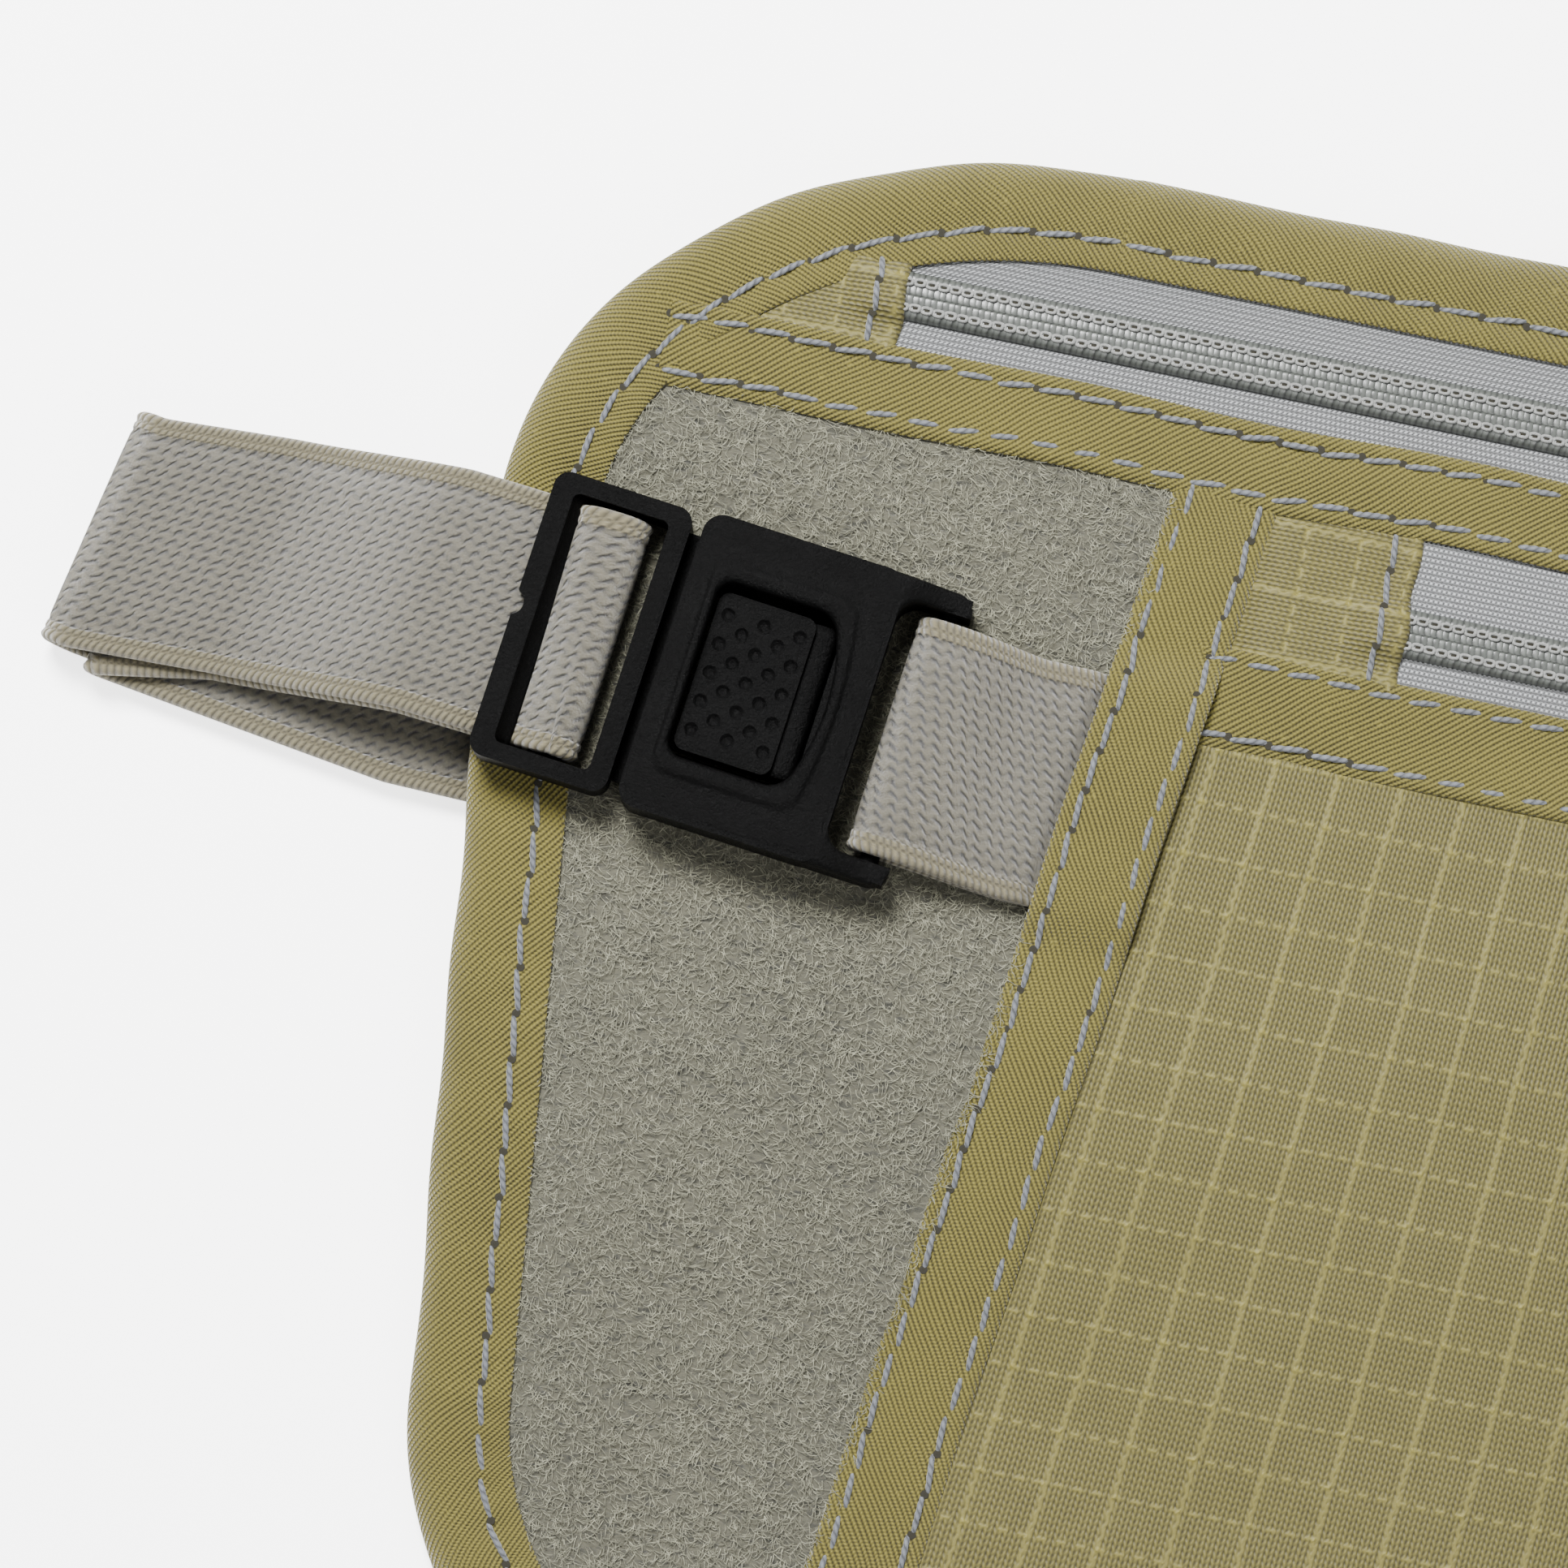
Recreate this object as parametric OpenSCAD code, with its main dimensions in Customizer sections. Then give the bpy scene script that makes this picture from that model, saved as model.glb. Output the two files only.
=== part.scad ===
// Money belt: a flat zipped pouch on an elastic waist strap with a small push buckle.
// It lies face up, buckled, with the strap folded back behind the pouch.
// Millimetres. +X along the belt, +Y to its upper edge, +Z up from the surface it lies on.

/* [Pouch] */
// Overall length of the pouch
pouch_w = 290; // [240:1:350]
// Overall height of the pouch
pouch_h = 136; // [113:1:164]
// Width of the bias binding round the edge
binding_w = 8.2; // [6:0.1:10]
// Half width of the rounded upper corners
top_corner_w = 45; // [36:1:54]
// Height of the rounded upper corners
top_corner_h = 35.5; // [28:0.5:42]
// Radius of the lower corners
low_corner_r = 33; // [24:1:40]
// Inward lean of the two side edges, in degrees
side_lean = 6.5; // [3:0.5:9]

/* [Fabrics] */
// Thickness of the binding and tape cloth
cloth_t = 0.35; // [0.25:0.05:0.5]
// Thickness of the brushed back panel
back_t = 0.8; // [0.6:0.1:1.2]
// Thickness of the divider between the two pockets
divider_t = 0.2; // [0.15:0.05:0.3]
// Room inside the front pocket
pocket_t = 1.3; // [1.2:0.1:1.8]
// Thickness of the folded tapes on the front
tape_t = 0.5; // [0.4:0.05:0.7]

/* [Tapes] */
// Distance from the pouch's top to the upper tape's lower edge
upper_tape_drop = 24.5; // [22:0.5:28]
// Width of the upper tape
upper_tape_w = 6.9; // [5:0.1:8]
// Distance from the upper tape's lower edge to the lower tape's
lower_tape_drop = 19.5; // [17.5:0.5:24]
// Width of the lower tape
lower_tape_w = 8; // [6:0.1:9]
// Width of the two slanted wing tapes
wing_tape_w = 8.4; // [7:0.1:10]
// Distance from the pouch's ends to the wing tapes' centre lines, at the upper tape
wing_tape_in = 57; // [52:1:66]
// Slant of the wing tapes, in degrees
wing_lean = 7.2; // [4:0.2:9]

/* [Zips] */
// Distance from the upper tape's upper edge to the upper zip's centre line
upper_zip_rise = 4.2; // [3.6:0.1:5]
// Distance from the lower tape's upper edge to the lower zip's centre line
lower_zip_rise = 4.05; // [3.6:0.05:5]
// Width of the whole closed coil
coil_w = 3.9; // [3.4:0.1:4.7]
// Height of the coil above its tape
coil_h = 1.05; // [0.8:0.05:1.3]
// Width of each zip tape
zip_tape_w = 9.5; // [8.5:0.5:11]
// Distance from the pouch's ends to the fold of the upper zip's end tabs, less twice the coil
upper_tab_in = 21; // [19:0.2:26]
// Distance from the wing tapes' centre lines to the fold of the lower zip's end tabs
lower_tab_in = 16.4; // [12:0.2:22]
// Length of a slider
slider_l = 8; // [7:0.5:10]
// Width of a slider
slider_w = 6.4; // [6:0.1:7]
// Length of a pull, from its hinge
pull_l = 21; // [16:1:28]
// Width of a pull
pull_w = 4.6; // [4.2:0.1:6]

/* [Strap] */
// Width of the elastic
strap_w = 20; // [16:0.5:24]
// Thickness of the elastic
strap_t = 1.2; // [1:0.1:1.4]
// How far the folded strap reaches out past the pouch's ends
fold_out = 33.5; // [28:0.5:60]
// How far the inner fold lies inside the outer one
fold_step = 3.8; // [3:0.1:8]
// Length of the strap's loose end behind the pouch, from the pouch centre
tail_x = 40; // [-20:5:60]

/* [Buckle] */
// Length of the plug's frame
plug_l = 11.4; // [10.5:0.1:13.5]
// Width of the buckle's side bars
rail_w = 1.45; // [1.2:0.05:1.8]
// Width of the plug's outer bar
outer_bar = 1.8; // [1.6:0.1:2]
// Width of the plug's centre bar
centre_bar = 2.6; // [2.2:0.1:2.8]
// Width of the plug's bar next to the socket
inner_bar = 1.7; // [1.5:0.1:2]
// Length of the socket's body
socket_l = 16.6; // [15.8:0.1:19.8]
// Length of the socket's two ears
ear_l = 5.4; // [5:0.1:6.4]
// Height of the socket
socket_t = 5.9; // [5.7:0.1:6.6]
// Wall of the socket
wall = 1.2; // [1:0.05:1.4]
// Length of the window in the socket
window_l = 10.5; // [9.6:0.1:12.4]
// Width of the window in the socket
window_w = 15.6; // [13.6:0.1:18]
// Length of the push pad
pad_l = 8; // [6.8:0.1:8.4]
// Width of the push pad
pad_w = 13; // [11:0.1:14]
// Number of dimple rows on the pad
dimple_rows = 9; // [5:2:9]
// Diameter of a dimple
dimple_d = 1.14; // [0.9:0.02:1.2]
// Distance between dimple rows
dimple_step = 1.19; // [1.1:0.01:1.2]

/* [Clearances] */
// Gap between sewn layers that only lie on each other
layer_gap = 0.1; // [0.05:0.05:0.15]
// Running gap of the sliders on their zips
slide_gap = 0.15; // [0.1:0.05:0.2]
// Running gap of the plug in the socket
plug_gap = 0.15; // [0.1:0.05:0.2]

/* [Hidden] */
$fn = 48;

khaki = [0.65, 0.61, 0.40];
olive = [0.62, 0.59, 0.38];
sage = [0.60, 0.61, 0.56];
zip_grey = [0.69, 0.70, 0.70];
coil_grey = [0.80, 0.80, 0.79];
greige = [0.67, 0.65, 0.60];
black = [0.12, 0.12, 0.12];
dark_metal = [0.30, 0.30, 0.31];

// Heights of the layers above the pouch's underside
z_back = cloth_t;
z_divider = z_back + back_t;
z_pocket = z_divider + divider_t;
z_face = z_pocket + pocket_t;
z_top = z_face + tape_t;

// ---- Outline of the pouch, at any distance in from its edge ----
half_w = pouch_w / 2;
half_h = pouch_h / 2;
buckle_drop = 46.4;
slope_clear = 6.6;
slope_start = 20;
buckle_y = half_h - buckle_drop;
slope_top = buckle_y - strap_w / 2 - slope_clear;
slope_bottom = -half_h + slope_start;
corner_x = half_w - top_corner_w;
corner_y = half_h - top_corner_h;
lean_t = -atan(top_corner_h * tan(side_lean) / top_corner_w);
side_top = [-corner_x - top_corner_w * cos(lean_t), corner_y + top_corner_h * sin(lean_t)];
low_y = -half_h + low_corner_r;
low_x = side_top[0] + (low_corner_r - (low_y - side_top[1]) * sin(side_lean)) / cos(side_lean);
corner_steps = 14;

function corner_point(t, d) =
    let (n = [-top_corner_h * cos(t), top_corner_w * sin(t)])
    [-corner_x - top_corner_w * cos(t), corner_y + top_corner_h * sin(t)] - d * n / norm(n);

function left_outline(d) = concat(
    [for (i = [0 : corner_steps]) corner_point(90 + (lean_t - 90) * i / corner_steps, d)],
    [for (i = [0 : corner_steps])
        let (a = side_lean + (90 - side_lean) * i / corner_steps)
        [low_x - (low_corner_r - d) * cos(a), low_y - (low_corner_r - d) * sin(a)]]
);

module outline(d) {
    left = left_outline(d);
    count = len(left);
    polygon(concat(left, [for (i = [count - 1 : -1 : 0]) [-left[i][0], left[i][1]]]));
}

// The upper part lies on two strap layers; the lower part slopes down to the surface
strap_step = strap_t + layer_gap;
rest_h = 2 * strap_step + layer_gap;
slope_steps = 10;
big = 800;

// ---- Height of the pouch's underside at each place across the belt ----
function ease(t) = t * t * (3 - 2 * t);
function base_h(y) = rest_h * ease(min(1, max(0, (y - slope_bottom) / (slope_top - slope_bottom))));

slope_ys = concat(
    [-big / 2],
    [for (i = [0 : slope_steps]) slope_bottom + (slope_top - slope_bottom) * i / slope_steps],
    [big / 2]
);

// A layer of the pouch between two heights, following the slope
module layer(z0, z1) {
    side = concat(
        [for (y = slope_ys) [y, base_h(y) + z0]],
        [for (i = [len(slope_ys) - 1 : -1 : 0]) [slope_ys[i], base_h(slope_ys[i]) + z1]]
    );
    intersection() {
        translate([-big / 2, 0, 0]) rotate([90, 0, 90]) linear_extrude(big) polygon(side);
        translate([0, 0, -1]) linear_extrude(30) children();
    }
}

// ---- Places that the tapes and panels share ----
upper_tape_y = half_h - upper_tape_drop;
lower_tape_y = upper_tape_y - lower_tape_drop;
wing_tape_x = half_w - wing_tape_in;
upper_tape_top = upper_tape_y + upper_tape_w;
lower_tape_top = lower_tape_y + lower_tape_w;
face_split_y = upper_tape_y + 0.5;
zip_split_y = lower_tape_y + lower_tape_w / 2;
function wing_x(y) = wing_tape_x + (upper_tape_y - y) * tan(wing_lean);
half_tape = wing_tape_w / 2 / cos(wing_lean);

// The band between the two slanted lines, moved outwards by grow
module between_wings(grow, y0, y1) {
    polygon([
        [-wing_x(y0) - grow, y0], [wing_x(y0) + grow, y0],
        [wing_x(y1) + grow, y1], [-wing_x(y1) - grow, y1]
    ]);
}

module back_panel() {
    color(sage) layer(z_back, z_divider) outline(cloth_t);
}

module divider_panel() {
    color(khaki) layer(z_divider, z_pocket) outline(cloth_t);
}

module left_wing_panel() {
    color(sage) layer(z_pocket, z_face) intersection() {
        outline(cloth_t);
        polygon([
            [-big / 2, -big / 2], [-wing_x(-big / 2), -big / 2],
            [-wing_x(face_split_y), face_split_y], [-big / 2, face_split_y]
        ]);
    }
}

module right_wing_panel() {
    mirror([1, 0, 0]) left_wing_panel();
}

module front_panel() {
    color(khaki) layer(z_face - cloth_t, z_face) intersection() {
        outline(cloth_t);
        between_wings(0, -big / 2, zip_split_y);
    }
}

module edge_binding() {
    color(olive) {
        layer(0, z_back) difference() { outline(0); outline(binding_w); }
        layer(z_back, z_face) difference() { outline(0); outline(cloth_t); }
        layer(z_face, z_top) difference() { outline(0); outline(binding_w); }
    }
}

module upper_tape() {
    color(olive) layer(z_face, z_top) intersection() {
        outline(binding_w);
        translate([-big / 2, upper_tape_y]) square([big, upper_tape_w]);
    }
}

module lower_tape() {
    color(olive) layer(z_face, z_top) between_wings(-half_tape, lower_tape_y, lower_tape_top);
}

module wing_tape() {
    color(olive) layer(z_face, z_top) intersection() {
        outline(binding_w);
        difference() {
            between_wings(half_tape, -big / 2, upper_tape_y);
            between_wings(-half_tape, -big / 2, upper_tape_y + 1);
            translate([0, -big / 2]) square(big);
        }
    }
}

module left_wing_tape() { wing_tape(); }
module right_wing_tape() { mirror([1, 0, 0]) wing_tape(); }

// ---- Zips ----
upper_zip_y = upper_tape_top + upper_zip_rise;
lower_zip_y = lower_tape_top + lower_zip_rise;
upper_tab_x = half_w - upper_tab_in - 2 * coil_w;
lower_tab_x = wing_tape_x - lower_tab_in;
zip_split = 0.3;
module zip_tape(y0, y1, inside_wings) {
    color(zip_grey) layer(z_face - cloth_t, z_face) intersection() {
        outline(cloth_t);
        if (inside_wings) between_wings(0, y0, y1);
        else translate([-big / 2, y0]) square([big, y1 - y0]);
    }
}

module upper_zip_tape_top() { zip_tape(upper_zip_y + zip_split, upper_zip_y + zip_tape_w, false); }
module upper_zip_tape_bottom() { zip_tape(face_split_y, upper_zip_y - zip_split, false); }
module lower_zip_tape_top() { zip_tape(lower_zip_y + zip_split, face_split_y, true); }
module lower_zip_tape_bottom() { zip_tape(zip_split_y, lower_zip_y - zip_split, true); }

// One half of a closed coil: a rounded bar that ends under the two tabs
coil_tuck = 1;
module coil_half(x, y, side) {
    half = coil_w / 2 - zip_split;
    r = coil_h / 2;
    z = rest_h + z_face;
    color(coil_grey) translate([-x - coil_tuck, y, z]) rotate([90, 0, 90])
        linear_extrude(2 * (x + coil_tuck)) scale([side, 1]) translate([zip_split, 0])
            polygon([[0, 0], [half, 0], [half, r], [half - r / 2, coil_h], [r / 2, coil_h], [0, r]]);
}

module upper_zip_coil_top() { coil_half(upper_tab_x, upper_zip_y, 1); }
module upper_zip_coil_bottom() { coil_half(upper_tab_x, upper_zip_y, -1); }
module lower_zip_coil_top() { coil_half(lower_tab_x, lower_zip_y, 1); }
module lower_zip_coil_bottom() { coil_half(lower_tab_x, lower_zip_y, -1); }

// An end tab: cloth folded over the end of the coil
module zip_tab(x, y, y0, y1, x_end) {
    half = coil_w / 2;
    hump = z_face + coil_h + layer_gap;
    side = [
        [y0, z_face], [y0, z_top], [y - half - 1.2, z_top], [y - half - 0.3, hump + cloth_t],
        [y + half + 0.3, hump + cloth_t], [y + half + 1.2, z_top], [y1, z_top], [y1, z_face],
        [y + half + layer_gap, z_face], [y + half + layer_gap, hump],
        [y - half - layer_gap, hump], [y - half - layer_gap, z_face]
    ];
    color(olive) translate([0, 0, rest_h]) intersection() {
        translate([-x_end, 0, 0]) rotate([90, 0, 90]) linear_extrude(x_end - x) polygon(side);
        linear_extrude(30) children();
    }
}

module upper_zip_tab_left() {
    zip_tab(upper_tab_x, upper_zip_y, upper_tape_top, half_h, half_w) outline(binding_w);
}
module upper_zip_tab_right() { mirror([1, 0, 0]) upper_zip_tab_left(); }

module lower_zip_tab_left() {
    zip_tab(lower_tab_x, lower_zip_y, lower_tape_top, upper_tape_y, half_w)
        between_wings(-half_tape, lower_tape_y, upper_tape_y);
}
module lower_zip_tab_right() { mirror([1, 0, 0]) lower_zip_tab_left(); }

// ---- Sliders and pulls ----
plate_t = 0.6;
post_w = 0.3;
z_under = z_face - cloth_t - slide_gap;
z_over = z_face + coil_h + slide_gap;
z_crown = z_over + plate_t;
crown_t = 0.7;
crown_w = 1.5;
eye_r = 0.5;
eye_gap = 0.2;
pull_z = z_crown + eye_gap + eye_r;
crown_top = pull_z + eye_r + eye_gap;
slider_rest = 3;
function slider_x(tab_x) = tab_x - slider_l / 2 - slider_rest;
pull_pivot = 1.1;

module slider_plan() {
    hull() {
        translate([-slider_l / 2 + 1, -slider_w / 2 + 0.9]) circle(0.9);
        translate([-slider_l / 2 + 1, slider_w / 2 - 0.9]) circle(0.9);
        translate([slider_l / 2 - 1.2, -slider_w / 2 + 1.2]) circle(1.2);
        translate([slider_l / 2 - 1.2, slider_w / 2 - 1.2]) circle(1.2);
    }
}

module slider(tab_x, y) {
    flange = coil_w / 2 + slide_gap;
    color(dark_metal) translate([slider_x(tab_x), y, rest_h]) {
        translate([0, 0, z_under - plate_t]) linear_extrude(plate_t) slider_plan();
        translate([0, 0, z_over]) linear_extrude(plate_t) slider_plan();
        translate([0, 0, z_face + slide_gap]) linear_extrude(z_over - z_face - slide_gap)
            difference() {
                slider_plan();
                translate([-slider_l, -flange]) square([2 * slider_l, 2 * flange]);
            }
        translate([slider_l / 2 - 3, -post_w / 2, z_under - 0.1])
            cube([2.4, post_w, z_over - z_under + 0.2]);
        for (x = [-slider_l / 2 + 0.9, slider_l / 2 - 1.7])
            translate([x, -crown_w / 2, z_crown - 0.1]) cube([0.8, crown_w, crown_top - z_crown + 0.2]);
        translate([-slider_l / 2 + 0.9, -crown_w / 2, crown_top])
            cube([slider_l - 1.8, crown_w, crown_t]);
    }
}

module upper_slider() { slider(upper_tab_x, upper_zip_y); }
module lower_slider() { slider(lower_tab_x, lower_zip_y); }

module pull(tab_x, y) {
    arm_in = crown_w / 2 + eye_gap;
    reach = slider_l / 2 + pull_pivot + 0.6;
    plate = 2 * eye_r;
    color(dark_metal) translate([slider_x(tab_x) + pull_pivot, y, rest_h + pull_z]) {
        rotate([90, 0, 0]) cylinder(h = pull_w, r = eye_r, center = true);
        translate([0, 0, -eye_r]) linear_extrude(plate) difference() {
            union() {
                translate([-reach - 1, -pull_w / 2]) square([reach + 1, pull_w]);
                hull() {
                    translate([-reach, -pull_w / 2]) square([1, pull_w]);
                    for (s = [-1, 1])
                        translate([-pull_l + 1.5, s * (pull_w / 2 - 1.5)]) circle(1.5);
                }
            }
            translate([-reach, -arm_in]) square([2 * reach, 2 * arm_in]);
            translate([-pull_l + 3.2, 0]) circle(1);
        }
    }
}

module upper_pull() { pull(upper_tab_x, upper_zip_y); }
module lower_pull() { pull(lower_tab_x, lower_zip_y); }

// ---- Buckle: its own frame has u along the strap and v across ----
buckle_lean = -6.2;
buckle_in = 15.45;
buckle_x = -half_w + buckle_in;
part_gap = 1;
slot_w = strap_w + 0.7;
buckle_w = slot_w + 2 * rail_w;
buckle_z = rest_h + z_top + layer_gap;
strap_c = buckle_z + strap_t / 2;
strap_a = strap_c + strap_step;
outer_z = strap_a + strap_t / 2 + 0.3;
centre_z = strap_c + strap_t / 2 + 0.15;
bar_t = 1.6;
bar_in = 2.7;
centre_r = bar_t / 2;
strap_over = centre_z + bar_t + layer_gap + strap_t / 2;
plug_top = outer_z + 1.7;
plug_r = -part_gap / 2;
plug_lft = plug_r - plug_l;
slot_l = plug_lft + outer_bar;
slot_r = plug_r - inner_bar;
centre_u = slot_l + bar_in + centre_bar / 2;
socket_lft = part_gap / 2;
socket_r = socket_lft + socket_l;
socket_top = buckle_z + socket_t;

module at_buckle() {
    translate([buckle_x, buckle_y, 0]) rotate([0, 0, buckle_lean]) children();
}

module rounded(u0, u1, w, r) {
    hull() for (u = [u0 + r, u1 - r], s = [-1, 1]) translate([u, s * (w / 2 - r)]) circle(r);
}

// The blade of the plug runs inside the socket; the tongue in its middle carries the pad
blade_t = 1.2;
blade_z = buckle_z + wall + plug_gap;
blade_w = buckle_w - 2 * wall - 4 * plug_gap;
blade_end = socket_r - wall - 2 * plug_gap;
crest_t = 1;
pad_top = socket_top - crest_t - layer_gap;
window_u = socket_lft + 2.5;
hinge_u = window_u + window_l - 0.2;
hinge_r = blade_t / 2;
pivot_u = hinge_u - hinge_r - 0.05;
pad_u = window_u + 0.4;
pad_side = 0.35;

// The socket's ears and the bar between them
body_w = buckle_w + 0.6;
ear_bar_r = 0.8;
loop_u = socket_r + ear_l - 1.6;
loop_z = buckle_z + 2.2;

module buckle_plug() {
    notch = 1.1;
    color(black) at_buckle() {
        difference() {
            translate([0, 0, buckle_z]) linear_extrude(plug_top - buckle_z) difference() {
                rounded(plug_lft, plug_r, buckle_w, 1.3);
                rounded(slot_l, slot_r, slot_w, 0.6);
                translate([plug_lft - 0.4, 0.6]) circle(notch);
            }
            translate([plug_lft - 1, -slot_w / 2, buckle_z - 1])
                cube([outer_bar + 1.5, slot_w, outer_z - buckle_z + 1]);
        }
        translate([centre_u, 0, centre_z + centre_r]) {
            for (s = [-1, 1]) translate([s * (centre_bar / 2 - centre_r), 0, 0])
                rotate([90, 0, 0]) cylinder(h = slot_w + 0.4, r = centre_r, center = true);
            cube([centre_bar - bar_t, slot_w + 0.4, bar_t], center = true);
        }
        // Blade inside the socket, open in the middle for the tongue
        translate([0, 0, blade_z]) linear_extrude(blade_t) difference() {
            translate([plug_r - 0.5, -blade_w / 2]) square([blade_end - plug_r + 0.5, blade_w]);
            translate([pad_u - 1, -pad_w / 2 - pad_side])
                square([hinge_u - pad_u + 1, pad_w + 2 * pad_side]);
        }
    }
}

// The pad is bent down about its hinge line by the thumb and springs back
module release_button() {
    color(black) at_buckle() difference() {
        union() {
            translate([pad_u, -pad_w / 2, blade_z]) cube([pivot_u - pad_u, pad_w, blade_t]);
            translate([pivot_u, 0, blade_z + hinge_r]) rotate([90, 0, 0])
                cylinder(h = pad_w, r = hinge_r, center = true);
            translate([0, 0, blade_z + blade_t - 0.1])
                linear_extrude(pad_top - blade_z - blade_t + 0.1)
                    rounded(pad_u, pad_u + pad_l, pad_w, 0.9);
        }
        for (i = [0 : dimple_rows - 1]) {
            count = i % 2 == 0 ? 3 : 2;
            for (k = [0 : count - 1])
                translate([
                    pad_u + pad_l / 2 + (k - (count - 1) / 2) * 2.5 * dimple_step,
                    (i - (dimple_rows - 1) / 2) * dimple_step, pad_top - 0.35
                ]) cylinder(h = 1, d = dimple_d);
        }
    }
}

module buckle_socket() {
    hole_z = blade_z - plug_gap;
    roof_z = blade_z + blade_t + plug_gap;
    way_w = pad_w + 2 * plug_gap;
    color(black) at_buckle() {
        difference() {
            translate([0, 0, buckle_z]) linear_extrude(socket_t)
                rounded(socket_lft, socket_r, body_w, 1.6);
            // Slot that the blade runs in
            translate([socket_lft - 1, -blade_w / 2 - plug_gap, hole_z])
                cube([socket_r - wall - socket_lft + 1, blade_w + 2 * plug_gap, roof_z - hole_z]);
            // Window over the pad
            translate([0, 0, roof_z - 0.1]) linear_extrude(20)
                rounded(window_u, window_u + window_l, window_w, 1.5);
            // Way for the pad: open below, so that it can be pressed, and to the plug
            translate([socket_lft - 1, -way_w / 2, buckle_z - 1])
                cube([hinge_u - socket_lft + 1, way_w, socket_top - crest_t - buckle_z + 1]);
        }
        // Ears and the bar that the short elastic is looped round
        for (s = [-1, 1]) {
            ear_in = slot_w / 2;
            ear_out = body_w / 2 - 0.3;
            translate([socket_r - 1, s > 0 ? ear_in : -ear_out, buckle_z])
                cube([ear_l + 1, ear_out - ear_in, 2 * (loop_z - buckle_z)]);
        }
        translate([loop_u, 0, loop_z]) rotate([90, 0, 0])
            cylinder(h = slot_w + 1, r = ear_bar_r, center = true);
    }
}

// ---- Elastic: a flat band swept along its centre line ----
// Each station is [x, y, z, angle of the run in its upright plane, turn of that plane];
// the band is w wide and t thick
module band(stations, w, t) {
    count = len(stations);
    points = [for (s = stations)
        let (
            n = [-sin(s[3]) * cos(s[4]), -sin(s[3]) * sin(s[4]), cos(s[3])] * t / 2,
            c = [s[0], s[1], s[2]],
            v = [-sin(s[4]), cos(s[4]), 0] * w / 2
        )
        each [c - v - n, c + v - n, c + v + n, c - v + n]];
    sides = [for (i = [0 : count - 2], k = [0 : 3])
        let (a = 4 * i + k, b = 4 * i + (k + 1) % 4)
        each [[a, b, b + 4], [a, b + 4, a + 4]]];
    last = 4 * (count - 1);
    polyhedron(points, concat(
        sides, [[0, 3, 2], [0, 2, 1], [last, last + 1, last + 2], [last, last + 2, last + 3]]
    ));
}

// An arc of the centre line from angle a0 to a1 about a height z, turned by k in plan
function turn(x, y, z, r, a0, a1, k, steps) = [for (i = [0 : steps])
    let (a = a0 + (a1 - a0) * i / steps)
    [x + r * cos(a) * cos(k), y + r * cos(a) * sin(k), z + r * sin(a), a + (a1 > a0 ? 90 : -90), k]];

// A smooth climb between two places [x, y, z, turn]
ramp_steps = 6;
function ramp(p, q) = [for (i = [0 : ramp_steps])
    let (f = i / ramp_steps, m = p + (q - p) * f, slope = 6 * f * (1 - f) * (q[2] - p[2]) / (q[0] - p[0]))
    [m[0], m[1], p[2] + (q[2] - p[2]) * ease(f), (q[0] > p[0] ? 0 : 180) + atan(slope), m[3]]];

// Heights of the four layers at the folded end: B and D under the pouch, C and A over it
z_b = strap_t / 2;
z_d = z_b + strap_step;
z_c = z_d + strap_step;
z_a = z_c + strap_step;
fold_z = (z_d + z_c) / 2;
inner_r = (z_c - z_d) / 2;
outer_r = (z_a - z_b) / 2;

// Turn of the strap at its left folds, and how far its lower corner sticks out there
fold_turn = -11.4;
fold_x = half_w + fold_out;
fold_reach = strap_w / 2 * sin(-fold_turn) + strap_t / 2 * cos(fold_turn);
outer_fold = -fold_x + outer_r * cos(fold_turn) + fold_reach;
inner_fold = -fold_x + fold_step + inner_r * cos(fold_turn) + fold_reach;
right_fold = fold_x - outer_r - strap_t / 2;

// Places in the buckle's frame, as places on the belt
function bx(u) = buckle_x + u * cos(buckle_lean);
function by(u) = buckle_y + u * sin(buckle_lean);

// Heights up the belt of the strap's centre line at its folds, edges and ends
fold_y = by(plug_lft) + 0.2;
under_y = fold_y - 2.4;
edge_y = buckle_y - 3.6;
tail_y = buckle_y - 8.6;
right_y = buckle_y - 1.6;
wrap_z = (strap_c + strap_over) / 2;
wrap_r = (strap_over - strap_c) / 2;
wrap_u = centre_u + centre_bar / 2 - centre_r;
climb_u = slot_l - 0.3;
top_u = centre_u - centre_bar / 2 + centre_r - 0.6;
climb_a = atan2(strap_over - strap_a, top_u - climb_u);
edge_x = -half_w - 3;
ramp_x = -half_w - 18;
sewn_x = wing_x(right_y - strap_w / 2) + half_tape + 1;
z_wing = rest_h + z_face + strap_t / 2 + layer_gap;
right_in = half_w - binding_w - 4;

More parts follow.
